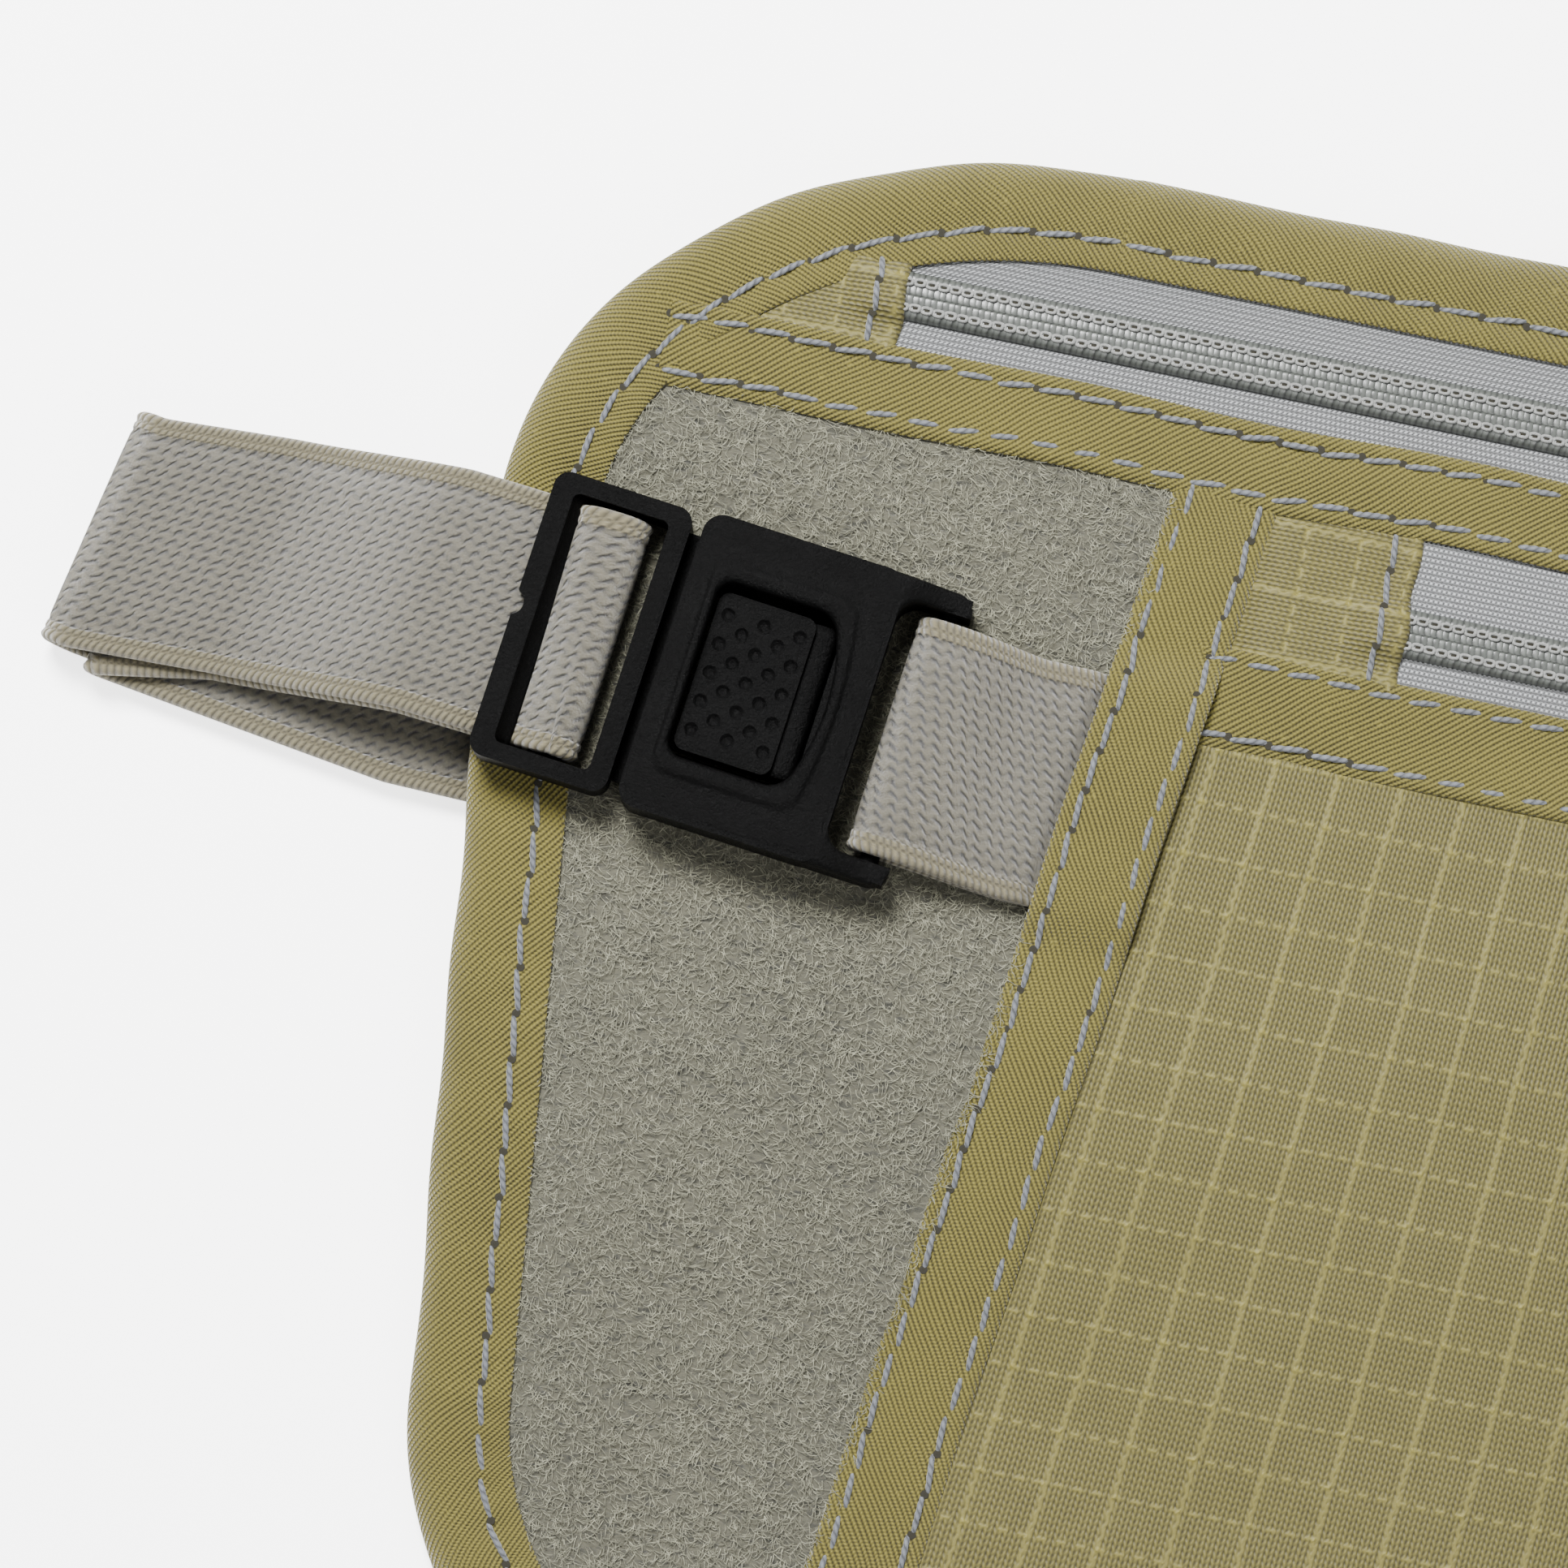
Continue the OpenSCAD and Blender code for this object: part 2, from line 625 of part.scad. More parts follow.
waist_path = concat(
    [[tail_x, tail_y, z_d, 180, -5], [edge_x, edge_y, z_d, 180, -7]],
    turn(inner_fold, under_y + 0.8, fold_z, inner_r, -90, -270, fold_turn, 8),
    ramp([ramp_x, fold_y, z_c, -8], [edge_x, by(plug_lft) + 0.4, strap_c, buckle_lean]),
    turn(bx(wrap_u), by(wrap_u), wrap_z, wrap_r, -90, 90, buckle_lean, 10),
    [
        [bx(top_u), by(top_u), strap_over, 180 - climb_a / 2, buckle_lean],
        [bx(climb_u), by(climb_u), strap_a, 180 - climb_a / 2, buckle_lean]
    ],
    ramp([edge_x, by(plug_lft) + 0.6, strap_a, buckle_lean], [ramp_x, fold_y + 0.4, z_a, -8]),
    turn(outer_fold, fold_y, fold_z, outer_r, 90, 270, fold_turn, 12),
    [[edge_x, edge_y + 1, z_b, 0, -5], [right_fold - 20, right_y, z_b, 0, 0]],
    turn(right_fold, right_y, fold_z, outer_r, -90, 90, 0, 12),
    ramp([-ramp_x, right_y, z_a, 0], [-edge_x, right_y, strap_c, 0]),
    ramp([right_in, right_y, strap_c, 0], [right_in - 10, right_y, z_wing, 0]),
    [[sewn_x, right_y, z_wing, 180, 0]]
);

module waist_strap() { color(greige) band(waist_path, strap_w, strap_t); }

// The short elastic: two layers from the left wing tape, looped round the socket's bar
short_y = buckle_y - 3.4;
short_end = -wing_x(short_y - strap_w / 2) - half_tape - 1.6;
short_r = ear_bar_r + layer_gap + strap_t / 2;
z_short = rest_h + z_face + strap_t / 2 + layer_gap;
short_bend = bx(loop_u + 1.6);
short_path = concat(
    [[short_end, short_y, z_short, 180, 0]],
    ramp([short_end - 1, short_y, z_short, 0], [short_bend, by(loop_u + 1.6), loop_z - short_r, buckle_lean]),
    turn(bx(loop_u), by(loop_u), loop_z, short_r, -90, -270, buckle_lean, 10),
    ramp([short_bend, by(loop_u + 1.6), loop_z + short_r, buckle_lean],
        [short_end - 1, short_y, z_short + strap_step, 0]),
    [[short_end, short_y, z_short + strap_step, 0, 0]]
);

module short_elastic() { color(greige) band(short_path, strap_w - 0.6, strap_t); }

back_panel();
divider_panel();
left_wing_panel();
right_wing_panel();
front_panel();
edge_binding();
upper_tape();
lower_tape();
left_wing_tape();
right_wing_tape();
upper_zip_tape_top();
upper_zip_tape_bottom();
upper_zip_coil_top();
upper_zip_coil_bottom();
lower_zip_tape_top();
lower_zip_tape_bottom();
lower_zip_coil_top();
lower_zip_coil_bottom();
upper_zip_tab_left();
upper_zip_tab_right();
lower_zip_tab_left();
lower_zip_tab_right();
upper_slider();
upper_pull();
lower_slider();
lower_pull();
waist_strap();
short_elastic();
buckle_socket();
buckle_plug();
release_button();
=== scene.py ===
# %% [markdown]
# # A money belt in Blender
# The belt is a flat pouch of ripstop nylon with brushed wings, bound round its edge with
# bias tape, closed by two coil zips, and worn on a knitted elastic with a small buckle.
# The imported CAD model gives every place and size. Each cell below makes one real piece.

# %% Load the frame
import math
import bmesh
import bpy
import numpy as np
from mathutils import Matrix, Vector


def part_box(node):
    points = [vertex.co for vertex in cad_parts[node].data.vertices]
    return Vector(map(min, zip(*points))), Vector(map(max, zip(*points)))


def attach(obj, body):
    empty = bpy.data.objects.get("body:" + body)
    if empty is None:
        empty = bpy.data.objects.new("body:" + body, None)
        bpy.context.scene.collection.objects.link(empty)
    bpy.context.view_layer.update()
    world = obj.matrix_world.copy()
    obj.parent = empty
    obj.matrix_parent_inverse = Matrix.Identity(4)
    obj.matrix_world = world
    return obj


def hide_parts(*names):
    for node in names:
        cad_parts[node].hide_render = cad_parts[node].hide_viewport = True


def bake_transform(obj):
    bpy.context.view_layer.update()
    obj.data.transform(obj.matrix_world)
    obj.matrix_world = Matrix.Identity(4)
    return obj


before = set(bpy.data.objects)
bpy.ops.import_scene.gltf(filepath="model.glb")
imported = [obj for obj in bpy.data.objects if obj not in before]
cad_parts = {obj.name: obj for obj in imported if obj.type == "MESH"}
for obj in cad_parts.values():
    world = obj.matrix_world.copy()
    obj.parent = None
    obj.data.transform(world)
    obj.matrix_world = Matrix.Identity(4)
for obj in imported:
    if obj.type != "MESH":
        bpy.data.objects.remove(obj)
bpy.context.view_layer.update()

MM = 0.001

# %% [markdown]
# ## The camera and the studio
# A long lens looks almost straight down at the left part of the belt. The camera is made
# from a target on the belt, a turn, a tilt and a distance, so that each can be changed alone.

# %% Camera
VIEW_TURN = math.radians(11.8)
CAMERA_TILT = math.radians(5.5)
CAMERA_DISTANCE = 480
FIELD_WIDTH = 124.6
TARGET = np.array([-117.7, 14.2, 5.0])
SENSOR = 36

along = np.array([math.cos(VIEW_TURN), math.sin(VIEW_TURN), 0])
flat_up = np.array([-math.sin(VIEW_TURN), math.cos(VIEW_TURN), 0])
overhead = np.array([0, 0, 1.0])
camera_up = math.cos(CAMERA_TILT) * flat_up + math.sin(CAMERA_TILT) * overhead
camera_back = math.cos(CAMERA_TILT) * overhead - math.sin(CAMERA_TILT) * flat_up

lens = bpy.data.cameras.new("camera")
lens.sensor_width = SENSOR
lens.lens = SENSOR * CAMERA_DISTANCE / FIELD_WIDTH
lens.clip_start = 0.01
camera = bpy.data.objects.new("camera", lens)
camera.rotation_euler = Matrix(np.column_stack([along, camera_up, camera_back])).to_euler()
camera.location = (TARGET + camera_back * CAMERA_DISTANCE) * MM
bpy.context.scene.collection.objects.link(camera)
bpy.context.scene.camera = camera
print("camera at", [round(v, 3) for v in camera.location])

# %% [markdown]
# ## Light
# A large soft box high on the upper left gives the cloth its relief, a weak one fills from
# the other side, and a pale world keeps the floor near white.

# %% Lights and floor
def soft_box(name, place, aim, size, power):
    """A square area light at a place, turned to face an aim point, both in millimetres."""
    data = bpy.data.lights.new(name, "AREA")
    data.shape = "SQUARE"
    data.size = size * MM
    data.energy = power
    lamp = bpy.data.objects.new(name, data)
    lamp.location = np.array(place) * MM
    away = lamp.location - Vector(np.array(aim) * MM)
    lamp.rotation_euler = away.to_track_quat("Z", "Y").to_euler()
    bpy.context.scene.collection.objects.link(lamp)


soft_box("key", (-300, 330, 560), (-100, 20, 0), 240, 18)
soft_box("fill", (300, -350, 500), (-60, 0, 0), 500, 4)

world = bpy.data.worlds.new("studio")
bpy.context.scene.world = world
world.use_nodes = True
world.node_tree.nodes["Background"].inputs["Color"].default_value = (1, 1, 1, 1)
world.node_tree.nodes["Background"].inputs["Strength"].default_value = 0.45

# %% [markdown]
# ## Two helpers for finishes
# Paint and dye colours are written as the hex values that a screen shows, so one function
# turns them to the linear light that a shader needs. The other adds one node with its links.

# %% Finish helpers
def linear(hex_colour):
    """An sRGB hex colour as linear red, green, blue and a full alpha."""
    parts = np.array([int(hex_colour[i:i + 2], 16) for i in (1, 3, 5)]) / 255
    light = np.where(parts <= 0.04045, parts / 12.92, ((parts + 0.055) / 1.055) ** 2.4)
    return (*light.tolist(), 1)


def add(finish, kind, *values, out=0, **settings):
    """Add one node to a finish and return one of its outputs. kind is the node's type, with an
    operation after a colon where it has one. values are numbers or links that fill its sockets
    in turn, or one dictionary that fills them by name. settings are the node's own properties."""
    kind, _, operation = kind.partition(":")
    made = finish.node_tree.nodes.new("ShaderNode" + kind)
    if operation:
        made.operation = operation
    for key, value in settings.items():
        setattr(made, key, value)
    inputs = values[0] if values and isinstance(values[0], dict) else dict(enumerate(values))
    for key, value in inputs.items():
        if isinstance(value, bpy.types.NodeSocket):
            finish.node_tree.links.new(value, made.inputs[key])
        else:
            made.inputs[key].default_value = value
    return made.outputs[out]


def new_finish(name, roughness, **sockets):
    """A new finish with its constant values set on the shader's own sockets."""
    finish = bpy.data.materials.new(name)
    finish.use_nodes = True
    shader = finish.node_tree.nodes["Principled BSDF"]
    shader.inputs["Roughness"].default_value = roughness
    for key, value in sockets.items():
        shader.inputs[key.replace("_", " ")].default_value = value
    print("finish", name)
    return finish, shader


def join(finish, shader, colour, height, depth, roughness=None):
    """Link a colour and a bump of a real depth in millimetres to the shader."""
    bump = add(finish, "Bump", {"Height": height, "Distance": depth * MM, "Strength": 1.0})
    finish.node_tree.links.new(bump, shader.inputs["Normal"])
    finish.node_tree.links.new(colour, shader.inputs["Base Color"])
    if roughness is not None:
        finish.node_tree.links.new(roughness, shader.inputs["Roughness"])


def wave(finish, place, direction, pitch, push=None):
    """0 to 1 and back once each pitch (mm) along a direction; push shifts it, in turns."""
    per_turn = tuple(np.array(direction) / (pitch * MM))
    turns = add(finish, "VectorMath:DOT_PRODUCT", place, per_turn, out="Value")
    if push is not None:
        turns = add(finish, "Math:ADD", turns, push)
    swing = add(finish, "Math:SINE", add(finish, "Math:MULTIPLY", turns, 2 * math.pi))
    return add(finish, "Math:MULTIPLY_ADD", swing, 0.5, 0.5)


def between(finish, factor, dark, light, low=0.0, high=1.0):
    """A colour that goes from dark to light as the factor goes from low to high."""
    share = add(finish, "MapRange", {"Value": factor, "From Min": low, "From Max": high})
    return add(finish, "Mix", {0: share, 6: linear(dark), 7: linear(light)}, out=2, data_type="RGBA")


# %% [markdown]
# ## The floor
# The belt lies on matt white paper. A sheet far larger than the belt has no visible edge from
# any side, and a little light of its own keeps it near white under the soft lamps.

# %% Floor
def paper_floor():
    """Matt white paper, large enough to fill every view."""
    finish, shader = new_finish("studio_paper", 0.9)
    shader.inputs["Base Color"].default_value = linear("#fdfdfd")
    shader.inputs["Emission Color"].default_value = (1, 1, 1, 1)
    shader.inputs["Emission Strength"].default_value = 2.6
    half = 3000 * MM
    mesh = bpy.data.meshes.new("floor")
    corners = [(-half, -half, 0), (half, -half, 0), (half, half, 0), (-half, half, 0)]
    mesh.from_pydata(corners, [], [(0, 1, 2, 3)])
    floor = bpy.data.objects.new("floor", mesh)
    mesh.materials.append(finish)
    bpy.context.scene.collection.objects.link(floor)
    print("paper floor", round(2 * half, 1), "m wide")


paper_floor()

# %% [markdown]
# ## Surfaces from grids
# Every cloth piece here is a grid of points worked out with numpy: rows run along the piece
# and columns go across it. The grid's own distances, in metres, are kept as a UV map, so a
# weave follows the cloth round its folds.

# %% Grid to mesh
def build(name, points, quads, finish, body, uv=None):
    """One smooth mesh from points in millimetres and quads of point numbers, riding a body."""
    mesh = bpy.data.meshes.new(name)
    mesh.vertices.add(len(points))
    mesh.vertices.foreach_set("co", (points * MM).astype(np.float32).ravel())
    mesh.loops.add(quads.size)
    mesh.loops.foreach_set("vertex_index", quads.ravel().astype(np.int32))
    mesh.polygons.add(len(quads))
    mesh.polygons.foreach_set("loop_start", np.arange(0, quads.size, 4, dtype=np.int32))
    if uv is not None:
        layer = mesh.uv_layers.new(name="cloth")
        layer.data.foreach_set("uv", (uv * MM).astype(np.float32).ravel())
    mesh.update(calc_edges=True)
    mesh.polygons.foreach_set("use_smooth", np.ones(len(quads), bool))
    mesh.materials.append(finish)
    piece = bpy.data.objects.new(name, mesh)
    bpy.context.scene.collection.objects.link(piece)
    if body:
        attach(piece, body)
    return piece


def surface(name, points, finish, ring=False, loop=False, uv=None, body="pouch"):
    """Quads between neighbouring grid points; ring closes the columns, loop closes the rows."""
    rows, cols = points.shape[:2]
    index = np.arange(rows * cols).reshape(rows, cols)
    if ring:
        index = np.hstack([index, index[:, :1]])
    if loop:
        index = np.vstack([index, index[:1]])
    quads = np.stack([index[:-1, :-1], index[1:, :-1], index[1:, 1:], index[:-1, 1:]], -1)
    corner = None
    if uv is not None:
        run, over = np.broadcast_arrays(uv[0][:, None], uv[1][None, :])
        flat = np.stack([run, over], -1)
        corner = np.stack([flat[:-1, :-1], flat[1:, :-1], flat[1:, 1:], flat[:-1, 1:]], -2)
    piece = build(name, points.reshape(-1, 3), quads.reshape(-1, 4), finish, body, corner)
    print(name, rows, "x", cols, "points")
    return piece


def loose(name, groups, finish, ring=True, body="pouch"):
    """Many equal grids in one mesh: groups is an array of grids, ring closes their columns."""
    count, rows, cols = groups.shape[:3]
    index = np.arange(count * rows * cols).reshape(count, rows, cols)
    if ring:
        index = np.concatenate([index, index[:, :, :1]], 2)
    quads = np.stack([index[:, :-1, :-1], index[:, 1:, :-1], index[:, 1:, 1:], index[:, :-1, 1:]], -1)
    piece = build(name, groups.reshape(-1, 3), quads.reshape(-1, 4), finish, body)
    print(name, count, "shapes")
    return piece


# %% [markdown]
# ## Places taken from the frame
# Heights and edges are read from the CAD nodes. The pouch's upper part lies on two layers of
# strap and its lower part slopes down to the table, so every height is the height on the
# upper part less a smooth fall.

# %% Places
def low(node):
    """The smallest x, y and z of a CAD node, in millimetres."""
    return np.array(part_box(node)[0]) / MM


def high(node):
    """The largest x, y and z of a CAD node, in millimetres."""
    return np.array(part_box(node)[1]) / MM


HALF_W = high("edge_binding")[0]
HALF_H = high("edge_binding")[1]
Z_FACE = low("upper_tape")[2]
Z_TOP = high("upper_tape")[2]
BINDING_W = 8.2
TOP_CORNER = (45, 35.5)
LOW_CORNER = 33
SIDE_LEAN = math.radians(6.5)
BUCKLE_Y = HALF_H - 46.4
SLOPE_TOP = BUCKLE_Y - 10 - 6.6
SLOPE_BOTTOM = -HALF_H + 20
REST_H = 2.7
STACK = Z_TOP - REST_H


def run_along(points):
    """The distance run at each point of a line, which starts at nought."""
    return np.concatenate([[0], np.cumsum(np.linalg.norm(np.diff(points, axis=0), axis=1))])


def ease(t):
    """Smooth step: three t squared less two t cubed, held at 0 and 1 outside."""
    t = np.clip(t, 0, 1)
    return t * t * (3 - 2 * t)


def fall(y):
    """How far the pouch lies below its upper part at a height up the belt."""
    return REST_H * (1 - ease((y - SLOPE_BOTTOM) / (SLOPE_TOP - SLOPE_BOTTOM)))


def outline(d, step=0.6):
    """The pouch's edge, d inside it: an elliptic upper corner, a leaning side, a round lower
    corner, mirrored, and sampled at equal steps. Returns places, inward normals and distance."""
    rx, ry = TOP_CORNER
    cx, cy = HALF_W - rx, HALF_H - ry
    t_end = -math.atan(ry * math.tan(SIDE_LEAN) / rx)
    t = np.linspace(math.pi / 2, t_end, 80)
    normal = np.stack([-ry * np.cos(t), rx * np.sin(t)], 1)
    normal /= np.linalg.norm(normal, axis=1, keepdims=True)
    upper = np.stack([-cx - rx * np.cos(t), cy + ry * np.sin(t)], 1)
    low_y = -HALF_H + LOW_CORNER
    low_x = upper[-1, 0] + (LOW_CORNER - (low_y - upper[-1, 1]) * math.sin(SIDE_LEAN)) / math.cos(SIDE_LEAN)
    a = np.linspace(SIDE_LEAN, math.pi / 2, 60)
    out = np.stack([-np.cos(a), -np.sin(a)], 1)
    lower = np.array([low_x, low_y]) + LOW_CORNER * out
    left = np.vstack([upper, lower])
    out = np.vstack([normal, out])
    right = left[::-1] * [-1, 1]
    path = np.vstack([left, right])
    out = np.vstack([out, out[::-1] * [-1, 1]])
    closed = np.vstack([path, path[:1]])
    length = run_along(closed)
    count = int(length[-1] / step)
    s = np.arange(count) * length[-1] / count
    out = np.vstack([out, out[:1]])
    place = np.stack([np.interp(s, length, closed[:, k]) for k in (0, 1)], 1)
    inward = -np.stack([np.interp(s, length, out[:, k]) for k in (0, 1)], 1)
    inward /= np.linalg.norm(inward, axis=1, keepdims=True)
    return place + inward * d, inward, s, length[-1]


def edge_at(y, d):
    """The x of the left edge, d inside it, at heights y."""
    place = outline(d)[0]
    left = place[place[:, 0] < -30]
    order = np.argsort(left[:, 1])
    return np.interp(y, left[order, 1], left[order, 0])


def wrinkle(x, y, size, seed, count=9):
    """Gentle unevenness: a few sine waves of about one size, in directions set by a seed."""
    rng = np.random.default_rng(seed)
    total = np.zeros(np.broadcast(x, y).shape)
    for angle, phase, stretch in zip(rng.uniform(0, 6.28, count), rng.uniform(0, 6.28, count),
                                     rng.uniform(0.6, 1.7, count)):
        total += np.sin((x * math.cos(angle) + y * math.sin(angle)) * 6.28 / (size * stretch) + phase)
    return total / math.sqrt(count)


def border(d):
    """Two functions of y: the x of the left edge and of the right edge, both d inside them."""
    return (lambda y: edge_at(y, d)), (lambda y: -edge_at(y, d))


print("pouch", round(2 * HALF_W, 1), "x", round(2 * HALF_H, 1), "mm, face at", round(Z_FACE, 2))

# %% [markdown]
# ## Khaki bias tape
# Bias tape is a plain woven cotton and nylon cloth cut at 45 degrees, so its thick ribs cross
# the strip on the slant and open out where it bends. The ribs are a wave across the UV map,
# pushed a little by noise, with a finer wave the other way for the threads between them.

# %% Bias tape finish
ALONG = (1, 0, 0)
ACROSS = (0, 1, 0)


def bias_cloth(name, lean, dark, light, shift=3.2):
    """Plain weave at a slant: fat ribs along one thread, fine dashes along the other. The ribs
    are pushed by slow noise, and a few thick slubs and paler patches break up the colour."""
    finish, shader = new_finish(name, 0.8, Sheen_Weight=0.2, Sheen_Roughness=0.4, IOR=1.45,
                                Specular_IOR_Level=0.3)
    place = add(finish, "UVMap", uv_map="cloth")
    slow = add(finish, "TexNoise", {"Vector": place, "Scale": 1 / (9.0 * MM), "Detail": 1.0})
    drift = add(finish, "Math:MULTIPLY", slow, shift)
    rib_way = (math.cos(lean), math.sin(lean), 0)
    cross_way = (-math.sin(lean), math.cos(lean), 0)
    ribs = wave(finish, place, rib_way, RIB_PITCH, drift)
    half_drift = add(finish, "Math:MULTIPLY", drift, 0.5)
    every_other = wave(finish, place, rib_way, 2 * RIB_PITCH, half_drift)
    threads = wave(finish, place, cross_way, 0.30, add(finish, "Math:MULTIPLY", every_other, 0.5))
    fuzz = add(finish, "TexNoise", {"Vector": place, "Scale": 1 / (0.25 * MM),
                                    "Detail": 3.0, "Roughness": 0.7})
    open_part = add(finish, "TexNoise", {"Vector": place, "Scale": 1 / (5.0 * MM)})
    basket = add(finish, "Math:MULTIPLY", threads, add(finish, "Math:MULTIPLY", open_part, 0.6))
    height = add(finish, "Math:MULTIPLY_ADD", add(finish, "Math:POWER", ribs, 0.6), 0.8, basket)
    height = add(finish, "Math:MULTIPLY_ADD", fuzz, 0.5, height)
    lumps = add(finish, "TexNoise", {"Vector": place, "Scale": 1 / (0.9 * MM), "Detail": 1.0})
    slub = add(finish, "MapRange", {"Value": lumps, "From Min": 0.68, "From Max": 0.8, "To Max": 0.45})
    patch = add(finish, "TexNoise", {"Vector": place, "Scale": 1 / (18.0 * MM)})
    # The colour follows the weave's height: the threads' own pattern, with painted shade in the furrows
    # between the ribs.
    tone_and_shade = add(finish, "Math:MULTIPLY_ADD", patch, 0.4, add(finish, "Math:ADD", height, slub))
    join(finish, shader, between(finish, tone_and_shade, dark, light, 0.35, 1.45), height, 0.16)
    return finish


KHAKI_DARK = "#161204"
KHAKI_LIGHT = "#665f2b"
RIB_PITCH = 0.40
binding_cloth = bias_cloth("bias_tape_khaki", math.radians(-45), KHAKI_DARK, KHAKI_LIGHT)
tape_cloth = bias_cloth("bias_tape_flat", math.radians(-52), KHAKI_DARK, KHAKI_LIGHT, 2.4)

# %% [markdown]
# ## Sewing thread
# The seams are lockstitch in a grey two-ply polyester thread. Each stitch rises from one
# needle hole and dives into the next, so one tube along the row rises and falls once a
# stitch, thins at the holes, and has two lobes that twist round it.

# %% Thread finish and stitch rows
def thread_finish(name, dark, light, plied=False):
    """Fibres along the thread, with painted shade in the groove between its two plies."""
    finish, shader = new_finish(name, 0.6, Sheen_Weight=0.3, IOR=1.5, Specular_IOR_Level=0.3)
    place = add(finish, "TexCoord", out="Object")
    fibres = add(finish, "TexNoise", {"Vector": place, "Scale": 1 / (0.09 * MM),
                                      "Detail": 3.0, "Roughness": 0.7})
    patch = add(finish, "TexNoise", {"Vector": place, "Scale": 1 / (0.8 * MM)})
    tone_and_shade = add(finish, "Math:MULTIPLY_ADD", patch, 0.3, add(finish, "Math:MULTIPLY", fibres, 0.5))
    if plied:
        turns = add(finish, "UVMap", uv_map="cloth")
        # Painted shade: the colour darkens in the groove between the two plies.
        ply = add(finish, "Math:POWER", wave(finish, turns, (2 / PLY_TURN, 2, 0), 1.0), 0.5)
        tone_and_shade = add(finish, "Math:MULTIPLY_ADD", ply, 0.4, add(finish, "Math:MULTIPLY", tone_and_shade, 0.8))
    join(finish, shader, between(finish, tone_and_shade, dark, light, 0.2, 0.95), tone_and_shade if plied else fibres, 0.06)
    return finish


PLY_TURN = 1.5
seam_thread = thread_finish("polyester_thread_grey", "#101113", "#6b6e74", True)
# A dark finish for the painted shadow in each needle hole and chain eye.
hole_shadow_finish, hole_shadow_shader = new_finish("needle_hole_shadow", 1.0)
hole_shadow_shader.inputs["Base Color"].default_value = linear("#1d1b12")

STITCH_R = 0.215


def stitch_row(name, path, pitch, seed):
    """A thread tube along a path: its height is the path's plus a rounded hump each stitch,
    its radius shrinks at each hole, and two lobes wind round it."""
    step = 0.2
    length = run_along(path)
    count = max(1, round(length[-1] / pitch))
    pitch = length[-1] / count
    s = np.arange(0, length[-1] + step / 2, step)
    centre = np.stack([np.interp(s, length, path[:, k]) for k in range(3)], 1)
    ahead = np.gradient(centre, axis=0)
    ahead /= np.linalg.norm(ahead, axis=1, keepdims=True)
    side = np.stack([-ahead[:, 1], ahead[:, 0], np.zeros(len(s))], 1)
    side /= np.linalg.norm(side, axis=1, keepdims=True)
    up = np.cross(ahead, side)
    rng = np.random.default_rng(seed)
    phase = s / pitch
    part = phase - np.floor(phase)
    hump = np.clip(np.sin(np.pi * part), 0, 1) ** 0.4
    sway = np.interp(phase, np.arange(count + 2), rng.normal(0, 0.09, count + 2))
    slant = (part - 0.5) * 0.34
    centre = centre + up * (hump * 0.42 - 0.34)[:, None] + side * (sway + slant)[:, None]
    radius = STITCH_R * (0.55 + 0.45 * hump)
    around = np.linspace(0, 2 * np.pi, 9)[:-1]
    twist = 2 * np.pi * s / PLY_TURN
    r = radius[:, None] * (0.82 + 0.3 * np.abs(np.cos(around[None, :] + twist[:, None])))
    points = centre[:, None] + side[:, None] * (r * np.cos(around))[..., None] * 1.12
    points = points + up[:, None] * (r * np.sin(around))[..., None]
    surface(name, points, seam_thread, ring=True, uv=(s, np.arange(9) / 8 * 1.0))
    # Over each needle hole lies a small dark bowl of painted shadow.
    holes = np.stack([np.interp(np.arange(count + 1) * pitch, length, path[:, k]) for k in range(3)], 1)
    rim = np.linspace(0, 2 * np.pi, 9)[:-1]
    grid = np.stack([np.cos(rim), np.sin(rim), np.zeros(8)], 1)
    sizes = np.array([0.36, 0.24, 0.02])[:, None, None]
    lift = np.array([0.015, 0.03, 0.035])[:, None, None] * [0, 0, 1]
    groups = holes[:, None, None] + grid[None, None] * sizes[None] + lift[None]
    loose(name + "_hole_shadows", groups, hole_shadow_finish)


# %% [markdown]
# ## Edge binding
# One strip of tape is folded over the raw edge of all the layers and sewn through. A profile
# from the folded inner edge on the front, round the pouch's edge, to the back is carried
# along the outline. The stitches pull the tape down into a shallow groove that puckers.

# %% Edge binding
BINDING_SEAM = 5.8
BINDING_PITCH = 3.65


def rounded_profile(corners, steps=5):
    """A closed or open line through corner points, each side cut into equal steps, then
    smoothed twice by averaging each point with its neighbours."""
    corners = np.array(corners, float)
    t = np.linspace(0, 1, steps, endpoint=False)[:, None]
    line = np.concatenate([a + (b - a) * t for a, b in zip(corners, np.roll(corners, -1, 0))])
    for _ in range(2):
        line = (np.roll(line, 1, 0) + 2 * line + np.roll(line, -1, 0)) / 4
    return line


